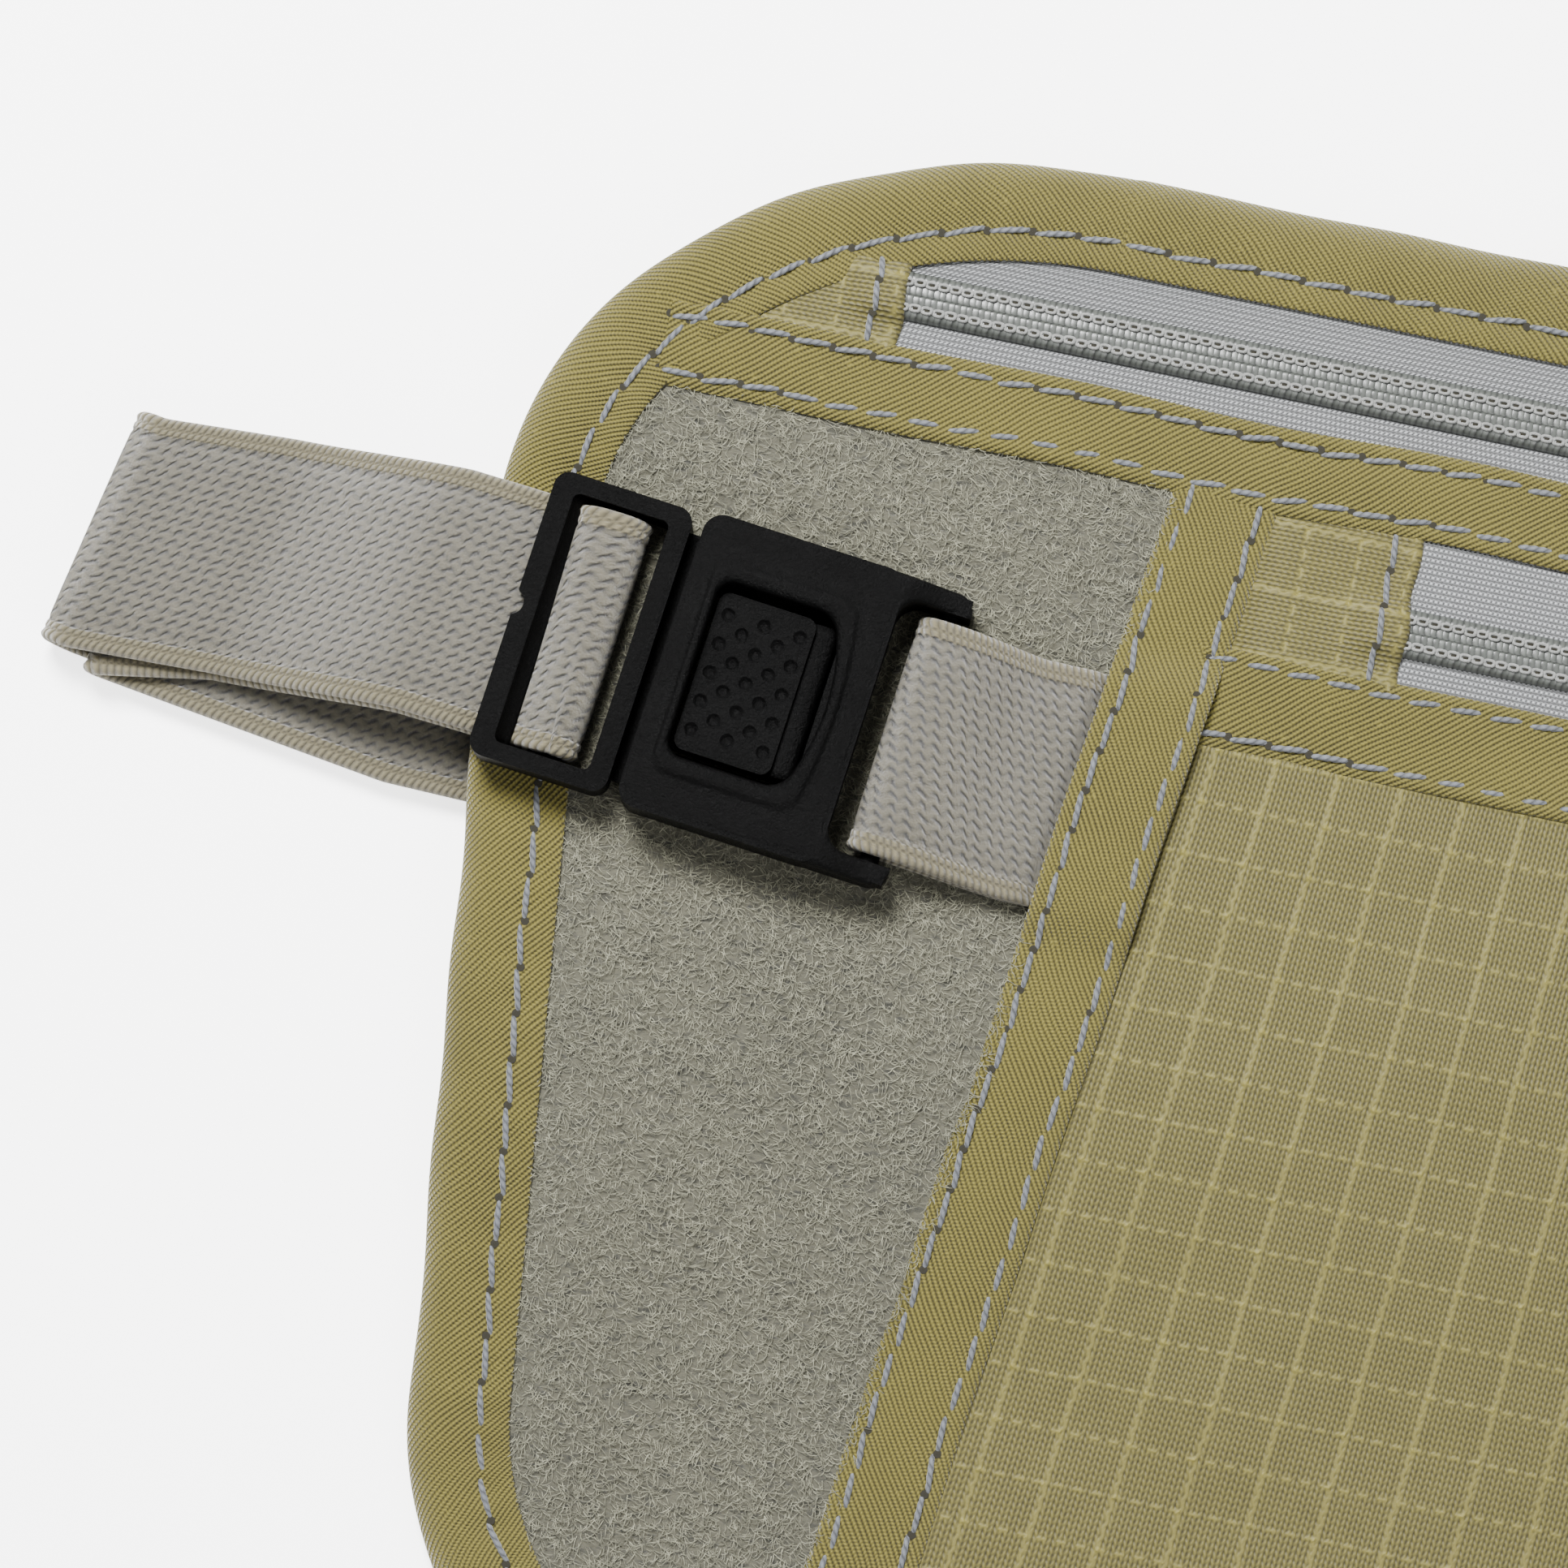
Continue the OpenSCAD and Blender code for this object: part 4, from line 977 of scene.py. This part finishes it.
def waist_route():
    """The strap's stations, from its loose end behind the pouch to where it is sewn."""
    fold_x = -low("waist_strap")[0]
    reach = 10 * math.sin(math.radians(-FOLD_TURN)) + STRAP_T / 2 * math.cos(math.radians(FOLD_TURN))
    outer = -fold_x + OUTER_R * math.cos(math.radians(FOLD_TURN)) + reach
    inner = -fold_x + 3.8 + INNER_R * math.cos(math.radians(FOLD_TURN)) + reach
    plug = buckle_place(PLUG_LEFT)
    bar_r = BAR_T / 2
    wrap = buckle_place(BAR_U + 1.3 - bar_r)
    top = buckle_place(BAR_U - 1.3 + bar_r - 0.2)
    climb = buckle_place(PLUG_LEFT + 1.8 + 0.4)
    fold_y = plug[1] + 0.2
    edge_x, ramp_x = -HALF_W - 3, -HALF_W - 18
    right_y = BUCKLE_Y - 1.6
    right_fold = fold_x - OUTER_R - STRAP_T / 2
    right_in = HALF_W - BINDING_W - 4
    z_wing = Z_FACE + STRAP_T / 2 + 0.1
    return np.vstack([
        [[40, BUCKLE_Y - 8.6, Z_D, math.pi, math.radians(-5)],
         [edge_x, BUCKLE_Y - 3.6, Z_D, math.pi, math.radians(-7)]],
        turn(inner, fold_y - 1.6, FOLD_Z, INNER_R, -90, -270, FOLD_TURN, 16),
        ramp([ramp_x, fold_y, Z_C, -8], [edge_x, plug[1] + 0.4, STRAP_C, LEAN]),
        turn(wrap[0], wrap[1], (STRAP_C + STRAP_OVER) / 2, (STRAP_OVER - STRAP_C) / 2, -90, 90, LEAN, 20),
        turn(top[0], top[1], STRAP_OVER - 1.1, 1.1, 90, 145, BUCKLE_LEAN, 8),
        [[climb[0], climb[1], STRAP_A, math.pi, BUCKLE_LEAN]],
        ramp([edge_x, plug[1] + 0.6, STRAP_A, LEAN], [ramp_x, fold_y + 0.4, Z_A, -8]),
        turn(outer, fold_y, FOLD_Z, OUTER_R, 90, 270, FOLD_TURN, 24),
        [[edge_x, BUCKLE_Y - 2.6, Z_B, 2 * math.pi, math.radians(-5)],
         [right_fold - 20, right_y, Z_B, 2 * math.pi, 0]],
        turn(right_fold, right_y, FOLD_Z, OUTER_R, -90, 90, 0, 24),
        ramp([-ramp_x, right_y, Z_A, 0], [-edge_x, right_y, STRAP_C, 0]),
        ramp([right_in, right_y, STRAP_C, 0], [right_in - 10, right_y, z_wing, 0]),
        [[wing_x(right_y) + 3, right_y, z_wing, math.pi, 0]],
    ])


elastic_cloth = elastic("knitted_elastic_greige", STRAP_W)
narrow_elastic = elastic("knitted_elastic_narrow", STRAP_W - 0.6)
centre, normal, side = sweep_frames(waist_route(), 0.5)
strap, strap_length = band("waist_elastic", centre, normal, side, STRAP_W, STRAP_T, elastic_cloth,
                           "waist_strap", None)
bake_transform(strap)

# %% [markdown]
# ## Short elastic
# A shorter piece ties the socket to the pouch. It is looped round the socket's bar and both
# its ends are sewn under the left wing tape, so it is the same band on a second route.

# %% Short elastic
def short_route():
    """Two layers from under the left wing tape, looped round the socket's bar."""
    loop_u = 0.5 + 16.6 + 5.4 - 1.6
    loop_z = BUCKLE_Z + 2.2
    r = 0.8 + 0.1 + STRAP_T / 2
    y = BUCKLE_Y - 3.4
    tail = -wing_x(y) - 2.0
    begin = -wing_x(y - 10) - 4.2 - 2.6
    z0 = Z_FACE + STRAP_T / 2 + 0.1
    bend = buckle_place(loop_u + 1.6)
    loop = buckle_place(loop_u)
    return np.vstack([
        [[tail, y, z0, math.pi, 0]],
        ramp([begin, y, z0, 0], [bend[0], bend[1], loop_z - r, LEAN]),
        turn(loop[0], loop[1], loop_z, r, -90, -270, LEAN, 16),
        ramp([bend[0], bend[1], loop_z + r, LEAN], [begin, y, z0 + STRAP_STEP, 0]),
        [[tail, y, z0 + 0.5, 0, 0]],
    ])


centre, normal, side = sweep_frames(short_route(), 0.4)
short, short_length = band("socket_elastic", centre, normal, side, STRAP_W - 0.6, STRAP_T, narrow_elastic,
                           "short_elastic", "pouch")

# %% [markdown]
# ## Zips
# A coil zip is two nylon springs sewn to woven tapes. Closed, they look like one smooth
# grey cord with a row of near-white chain stitches along each half. The cord is a height
# field, the chain stitches are real links, and the tape is a plain weave.

# %% Zip finishes
CHAIN_PITCH = 0.97


def zip_weave():
    """Basket weave: every other thread is shifted by half a step."""
    finish, shader = new_finish("zip_tape_polyester", 0.6, Sheen_Weight=0.15, IOR=1.5)
    place = add(finish, "UVMap", uv_map="cloth")
    over = wave(finish, place, ALONG, 0.46)
    push = add(finish, "Math:MULTIPLY", add(finish, "Math:ROUND", over), 0.5)
    under = wave(finish, place, ACROSS, 0.40, push)
    cells = add(finish, "Math:MULTIPLY", add(finish, "Math:POWER", over, 0.6),
                add(finish, "Math:POWER", under, 0.6))
    fuzz = add(finish, "TexNoise", {"Vector": place, "Scale": 1 / (0.2 * MM),
                                    "Detail": 3.0, "Roughness": 0.7})
    height = add(finish, "Math:MULTIPLY_ADD", fuzz, 0.4, cells)
    # The colour follows the height: the weave's own pattern, with painted shade between the threads.
    join(finish, shader, between(finish, height, "#262626", "#939597", 0.15, 1.1), height, 0.12)
    return finish


def coil_nylon():
    """Grey nylon with a soft band of painted light and shade for each turn of the coil."""
    finish, shader = new_finish("zip_coil_nylon", 0.35, IOR=1.53, Specular_IOR_Level=0.5)
    place = add(finish, "UVMap", uv_map="cloth")
    turns = wave(finish, place, ALONG, CHAIN_PITCH)
    half_turns = wave(finish, place, ALONG, CHAIN_PITCH / 2)
    fuzz = add(finish, "TexNoise", {"Vector": place, "Scale": 1 / (0.25 * MM),
                                    "Detail": 3.0, "Roughness": 0.7})
    bands = add(finish, "Math:MULTIPLY", add(finish, "Math:POWER", half_turns, 0.4), 0.5)
    height = add(finish, "Math:MULTIPLY_ADD", fuzz, 0.2, bands)
    # Painted light and shade: each turn is lighter on its crest and darker between turns.
    tone_and_shade = add(finish, "Math:MULTIPLY_ADD", turns, 0.25, height)
    join(finish, shader, between(finish, tone_and_shade, "#272927", "#50534f", 0.2, 0.9), height, 0.04)
    return finish


weave_cloth = zip_weave()
coil_plastic = coil_nylon()
chain_thread = thread_finish("zip_chain_thread", "#4d4f4c", "#b4b4b1")
COIL_H = 1.05


def zip_cord(name, x_end, y, side, nodes):
    """Half of the closed coil: a round-backed strip beside the centre line, waisted at each
    turn, with small pits along its outer foot."""
    x = np.arange(-x_end, x_end, 0.16)
    v = np.array([0.0, 0.15, 0.4, 0.62, 0.9, 1.2, 1.5, 1.75, 1.92, 1.98])
    h = np.array([0.84, 0.86, 0.88, 0.84, 0.80, 0.86, 0.84, 0.66, 0.36, 0.0])
    v = np.concatenate([v, [1.98, 0.0]])
    h = np.concatenate([h, [-0.25, -0.25]])
    beat = np.cos(2 * np.pi * x / CHAIN_PITCH + (0 if side > 0 else math.pi))
    points = np.empty((len(x), len(v), 3))
    points[..., 0] = x[:, None]
    points[..., 1] = y + side * v[None, :]
    ripple = 0.015 * beat[:, None] * np.exp(-((v - 0.1) / 0.35) ** 2)
    pits = -0.14 * np.clip(beat, 0, 1)[:, None] ** 3 * np.exp(-((v - 1.7) / 0.2) ** 2)
    points[..., 2] = Z_FACE + h[None, :] + ripple + pits
    if side < 0:
        points = points[::-1]
    over = np.append(np.cumsum(np.abs(np.diff(v, prepend=0)) + 0.02), 6.0)
    piece = surface(name, points, coil_plastic, ring=True, uv=(x + x_end, over))
    cap_ends(piece, len(x), len(v))
    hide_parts(nodes)


def chain_row(name, x_end, y, seed):
    """Chain stitches: each link is a rounded, nearly square ring of thread with painted shadow in its eye.
    """
    x = np.arange(-x_end + 0.5, x_end - 0.4, CHAIN_PITCH)
    rng = np.random.default_rng(seed)
    a = np.linspace(0, 2 * np.pi, 13)
    b = np.linspace(0, 2 * np.pi, 7)[:-1]
    ring_x = np.sign(np.cos(a)) * np.abs(np.cos(a)) ** 0.7 * 0.40
    ring_y = np.sign(np.sin(a)) * np.abs(np.sin(a)) ** 0.7 * 0.23
    centre = np.stack([ring_x, ring_y, 0.08 * np.cos(a)], -1)
    out = np.stack([np.cos(a), np.sin(a), 0 * a], -1)
    tube = 0.145
    link = centre[:, None] + out[:, None] * (tube * np.cos(b))[None, :, None] * [1, 0.9, 1]
    link = link + np.array([0, 0, 1.0]) * (tube * 1.1 * np.sin(b))[None, :, None]
    place = np.stack([x, y + rng.normal(0, 0.02, len(x)), Z_FACE + 0.93 + 0 * x], -1)
    groups = place[:, None, None] + link[None] * rng.uniform(0.95, 1.05, len(x))[:, None, None, None]
    loose(name, groups, chain_thread)
    # A dark disc of painted shadow sits in the eye of each link.
    rim = np.linspace(0, 2 * np.pi, 9)[:-1]
    disc = np.stack([np.cos(rim), np.sin(rim), np.zeros(8)], 1)
    sizes = np.array([0.24, 0.16, 0.01])[:, None, None]
    eye_shadows = place + [0.05, 0, -0.01]
    loose(name + "_eye_shadows", eye_shadows[:, None, None] + disc * sizes, hole_shadow_finish)


def tape_half(name, left, right, y0, y1, node):
    """One woven zip tape, lying flat beside the coil."""
    length = 2 * float(np.max(right(np.array([y0, y1]))))
    panel(name, left, right, y0, y1, Z_FACE, 0.35, weave_cloth, node, "zip_tape_cloth", 0.03, 12, 80,
          (12.5, length))


# %% [markdown]
# ## The two zips
# The upper zip opens the back pocket along the whole pouch, and the lower one opens the front
# pocket between the wings. Both are cut from the same chain, so one function makes them.

# %% Upper and lower zips
def make_zip(level, inside):
    """Two halves of the coil, two chain rows and two woven tapes. A zip that is inside the
    wings is cut off by the wing tapes, and the other one by the binding. Returns its height."""
    y = (low(level + "_zip_coil_top")[1] + high(level + "_zip_coil_bottom")[1]) / 2
    x_end = high(level + "_zip_coil_top")[0] + 0.5
    zip_cord(level + "_coil_a", x_end, y, 1, level + "_zip_coil_top")
    zip_cord(level + "_coil_b", x_end, y, -1, level + "_zip_coil_bottom")
    chain_row(level + "_chain_a", x_end, y + 1.06, 3)
    chain_row(level + "_chain_b", x_end, y - 1.06, 4)
    top_node, bottom_node = level + "_zip_tape_top", level + "_zip_tape_bottom"
    left, right = (left_wing_edge, wing_x) if inside else border(BINDING_W - 2)
    y_top = high(top_node)[1] if inside else min(high(top_node)[1], HALF_H - BINDING_W + 2)
    tape_half(level + "_woven_a", left, right, y + 0.1, y_top, top_node)
    tape_half(level + "_woven_b", left, right, low(bottom_node)[1], y - 0.1, bottom_node)
    return y


upper_y = make_zip("upper", False)
lower_y = make_zip("lower", True)

# %% [markdown]
# ## Zip end tabs
# Each end of a zip is covered by a folded piece of ripstop that is sewn down across the coil.
# A cloth simulation could drape it, but the shape is simple: flat, with a hump that dies out
# beyond the coil's end, so a formula gives it without a solver.

# %% Tabs
def over_coil(v):
    """How high the cloth stands over the coil at a distance v from its middle: a flat-topped
    hump, the exponential of minus a fourth power."""
    return np.exp(-(np.abs(v / 2.15)) ** 4) * (COIL_H - 0.05)


def tab(name, x_fold, x_back, y, y0, y1, node):
    """A cloth tab: across the zip it rises over the coil, and its edge towards the zip is a
    round fold."""
    sign = -1 if x_fold < 0 else 1
    across = np.linspace(y0, y1, 41)
    u = np.array([0.0, 0.1, 0.3, 0.7, 1.5, 2.3, 3.1, 4.2, 5.5, 7.5, 10, abs(x_back - x_fold)])
    rise = np.array([-0.42, -0.12, 0.02, 0.08, 0.04, -0.06, 0.03, 0.05, 0.05, 0.05, 0, -0.05])
    x = x_fold + sign * u
    fade = 1 - ease((u[:, None] - 2.5) / 3.5)
    points = np.empty((len(u), len(across), 3))
    points[..., 0] = x[:, None] + 0.15 * wrinkle(across, 0 * across, 6, 5)[None, :] * (u[:, None] < 1)
    points[..., 1] = across[None, :]
    fold = rise[:, None] + 0.12 * np.exp(-u[:, None] / 3)
    points[..., 2] = Z_TOP - 0.3 + over_coil(across - y)[None, :] * fade + fold
    under = points[::-1].copy()
    under[..., 2] -= 0.3
    full = np.vstack([points, under])
    if sign > 0:
        full = full[:, ::-1]
    run = np.append(np.append(u, 2 * u[-1] - u[::-1]), 2 * u[-1])
    piece = surface(name, full, ripstop_cloth, loop=True, uv=(run, across - y0))
    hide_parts(node)
    seam = np.linspace(y0 + 0.3, y1 - 0.3, 60)
    path = np.column_stack([0 * seam + x_fold + sign * 2.3, seam, Z_TOP - 0.25 + over_coil(seam - y)])
    stitch_row(name + "_stitches", path, 3.0, 90)


UPPER_TAB = 116.2
LOWER_TAB = 71.6
for sign, end in ((-1, "left"), (1, "right")):
    tab("upper_tab_" + end, sign * UPPER_TAB, sign * (UPPER_TAB + 13), upper_y,
        high("upper_tape")[1] - 0.6, upper_y + 3.4, "upper_zip_tab_" + end)
    tab("lower_tab_" + end, sign * LOWER_TAB, sign * (LOWER_TAB + 15), lower_y,
        high("lower_tape")[1] - 0.8, low("upper_tape")[1] + 0.8, "lower_zip_tab_" + end)

# %% [markdown]
# ## Sliders and pulls
# The sliders are die-cast zinc with a dark enamel. Their CAD shapes are right, so they keep
# them, and a small bevel rounds the edges as casting does.

# %% Slider metal
def cast_metal():
    """Dark enamel on zinc: a faint grain and slow differences in its grey."""
    finish, shader = new_finish("enamelled_zinc_gunmetal", 0.32, Metallic=0.9, Coat_Weight=0.3)
    place = add(finish, "TexCoord", out="Object")
    grain = add(finish, "TexNoise", {"Vector": place, "Scale": 1 / (0.15 * MM),
                                     "Detail": 3.0, "Roughness": 0.6})
    wear = add(finish, "TexNoise", {"Vector": place, "Scale": 1 / (1.5 * MM),
                                    "Detail": 3.0, "Roughness": 0.6})
    rough = add(finish, "MapRange", {"Value": grain, "To Min": 0.25, "To Max": 0.45})
    join(finish, shader, between(finish, wear, "#515154", "#626265", 0.3, 0.7), grain, 0.01, rough)
    return finish


def soften(node, width, finish):
    """Round a CAD node's sharp edges by a small bevel and give it a finish."""
    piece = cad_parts[node]
    piece.data.materials.clear()
    piece.data.materials.append(finish)
    weld = piece.modifiers.new("weld", "WELD")
    weld.merge_threshold = 0.001 * MM
    bevel = piece.modifiers.new("round", "BEVEL")
    bevel.width = width * MM
    bevel.segments = 2
    bevel.limit_method = "ANGLE"
    bevel.angle_limit = math.radians(35)


zinc = cast_metal()
for part in ("upper_slider", "lower_slider", "upper_pull", "lower_pull"):
    soften(part, 0.15, zinc)
    print(part, "edges rounded by 0.15 mm")

# %% [markdown]
# ## Moulded buckle
# The buckle is injection moulded acetal with a fine spark-eroded grain: matt black with a
# soft highlight. A body with a window is one surface that goes from its outer outline, over
# the rim, down to the window's outline, so every edge gets the mould's soft radius.

# %% Acetal
def acetal():
    """Moulded black plastic: fine and coarse grain in its surface and its gloss."""
    finish, shader = new_finish("acetal_black_grained", 0.45, IOR=1.48, Specular_IOR_Level=0.06)
    place = add(finish, "TexCoord", out="Object")
    grain = add(finish, "TexNoise", {"Vector": place, "Scale": 1 / (0.22 * MM),
                                     "Detail": 3.0, "Roughness": 0.75})
    coarse = add(finish, "TexNoise", {"Vector": place, "Scale": 1 / (0.45 * MM)})
    patch = add(finish, "TexNoise", {"Vector": place, "Scale": 1 / (5.0 * MM)})
    rough = add(finish, "MapRange", {"Value": grain, "From Min": 0.3, "From Max": 0.7,
                                     "To Min": 0.34, "To Max": 0.55})
    height = add(finish, "Math:MULTIPLY_ADD", coarse, 0.3, add(finish, "Math:MULTIPLY", grain, 0.7))
    join(finish, shader, between(finish, patch, "#020202", "#040404", 0.3, 0.7), height, 0.22, rough)
    return finish


black_acetal = acetal()


def round_rect(t, u0, u1, width, radius, bow=0.0):
    """Points of a rounded rectangle at turns t: corner arcs joined by straight sides, at equal
    shares of its length; bow pushes the far side outwards."""
    half = width / 2
    r = radius
    cu = np.array([u1 - r, u0 + r, u0 + r, u1 - r])
    cv = np.array([half - r, half - r, -half + r, -half + r])
    a = np.linspace(0, np.pi / 2, 9)
    u = np.concatenate([cu[k] + r * np.cos(a + k * np.pi / 2) for k in range(4)])
    v = np.concatenate([cv[k] + r * np.sin(a + k * np.pi / 2) for k in range(4)])
    u, v = np.append(u, u[0]), np.append(v, v[0])
    s = np.concatenate([[0], np.cumsum(np.hypot(np.diff(u), np.diff(v)))])
    uu = np.interp(t * s[-1], s, u)
    vv = np.interp(t * s[-1], s, v)
    uu = uu + bow * (1 - (vv / half) ** 2) * ease((uu - u0) / (u1 - u0) * 2 - 1)
    return uu, vv


def framed_body(name, outer, inner, profile, body, steps=320):
    """A ring-shaped skin between two outlines: each profile point is a share of the way from
    the outer to the inner one and a height."""
    t = np.arange(steps) / steps
    share, z = np.array(profile).T
    (outer_u, outer_v), (inner_u, inner_v) = round_rect(t, *outer), round_rect(t, *inner)
    u = outer_u[:, None] * (1 - share) + inner_u[:, None] * share
    v = outer_v[:, None] * (1 - share) + inner_v[:, None] * share
    points = buckle_place(u, v, BUCKLE_Z + z)
    piece = surface(name, points, black_acetal, ring=True, loop=True, body=body)


SOCKET_OUTLINE = (0.78, 16.82, 23.64, 1.5)
WINDOW_OUTLINE = (3.05, 12.5, 14.4, 1.3, 1.5)
framed_body("socket_crest", SOCKET_OUTLINE, WINDOW_OUTLINE, [
    (0.0, 5.6), (0.0, 5.84), (0.03, 5.9), (0.12, 5.93), (0.4, 5.94), (0.6, 5.95), (0.64, 5.98),
    (0.68, 6.1), (0.73, 6.22), (0.8, 6.26), (0.9, 6.22), (0.96, 6.1), (1.0, 5.85), (1.0, 4.98),
    (0.9, 4.96), (0.4, 5.3),
], "pouch")


def ear(side):
    """A bar beside the short elastic that carries the socket's side on past its body: it thins
    towards a rounded tip and meets the body with a fillet."""
    tip = 21.2 + 1.5 * np.sin(np.linspace(0.1, 1, 8) * np.pi / 2)
    u = np.concatenate([np.linspace(13.5, 17.0, 6), np.linspace(17.1, 18.9, 9)[1:],
                        np.linspace(19.3, 21.2, 4), tip])
    fillet = 1.8 - np.sqrt(np.clip(3.24 - np.clip(18.9 - u, 0, 1.8) ** 2, 0, None))
    inside = 10.3 - fillet
    outside = 12.08 - (1.5 - np.sqrt(np.clip(2.25 - np.clip(u - 21.2, 0, 1.5) ** 2, 0, None)))
    outside = np.maximum(outside, inside + 0.3)
    top = 5.93 - 1.5 * ease((u - 16.5) / 5)
    corner = np.array([(0, 0.06), (0.04, 0), (0.96, 0), (1, 0.06), (1, 0.92), (0.93, 0.985), (0.8, 1.0),
                       (0.2, 1.0), (0.07, 0.985), (0, 0.92)])
    v = inside[:, None] + (outside - inside)[:, None] * corner[:, 0]
    z = top[:, None] * corner[:, 1]
    points = buckle_place(u[:, None] + 0 * v, side * v, BUCKLE_Z + z)
    if side < 0:
        points = points[::-1]
    piece = surface("socket_ear_" + ("a" if side > 0 else "b"), points, black_acetal, ring=True)
    cap_ends(piece, len(u), len(corner))


ear(1)
ear(-1)


def bar(name, half, steps, section, body):
    """A section of (u, height) points carried straight across the buckle and closed."""
    section = np.array(section)
    v = np.linspace(-half, half, steps)[:, None]
    points = buckle_place(section[:, 0] + 0 * v, v, BUCKLE_Z + section[:, 1])
    piece = surface(name, points, black_acetal, ring=True, body=body)
    cap_ends(piece, steps, len(section))


# The plug's outer bar slopes inwards under its top face, over the returning strap.
bar("plug_lip", 10.4, 41, [(-10.6, 4.35), (-10.6, 2.86), (-8.95, 2.86), (-8.9, 3.0), (-9.1, 3.1),
                           (-10.0, 3.9), (-10.15, 4.35)], "plug")


def dimples():
    """Round pits in the pad, rows of three and two in turn: each is a small bowl."""
    pad_u, pad_l, step = 3.4, 8.0, 1.19
    rows = np.repeat(np.arange(9), 3)
    place = np.tile(np.arange(3), 9)
    keep = (rows % 2 == 0) | (place < 2)
    rows, place = rows[keep], place[keep]
    first = np.where(rows % 2 == 0, 1.0, 0.5)
    u = pad_u + pad_l / 2 + (place - first) * 2.5 * step
    v = (rows - 4) * step
    rim = np.linspace(0, 2 * np.pi, 13)[:-1]
    bowl_r = np.array([0.66, 0.60, 0.53, 0.40, 0.22, 0.01])
    bowl_z = np.array([0.0, 0.03, -0.03, -0.17, -0.27, -0.30])
    top = BUCKLE_Z + 4.8
    bu = u[:, None, None] + bowl_r[None, :, None] * np.cos(rim)
    bv = v[:, None, None] + bowl_r[None, :, None] * np.sin(rim)
    groups = buckle_place(bu, bv, top + bowl_z[None, :, None] + 0 * bu)
    piece = loose("pad_dimples", groups, black_acetal, body="button")


dimples()


# The end of the tongue beside the pad is a low step with a rounded edge.
bar("pad_ledge", 6.3, 21, [(11.2, 2.3), (11.2, 4.2), (11.5, 4.33), (12.7, 4.25), (13.1, 4.0), (13.2, 3.5),
                           (13.2, 2.3)], "button")
print("buckle stands", round(float(BUCKLE_Z), 2), "mm above the table")

# %% [markdown]
# ## Moulded edges
# The socket, the plug and the release pad keep their CAD shapes, because each is a plain
# moulding. A mould's edges are never sharp, so a small bevel on a welded copy rounds them.

# %% Socket, plug and release pad
for part, radius in (("buckle_socket", 0.3), ("buckle_plug", 0.3), ("release_button", 0.12)):
    soften(part, radius, black_acetal)
    print(part, "edges rounded by", radius, "mm")
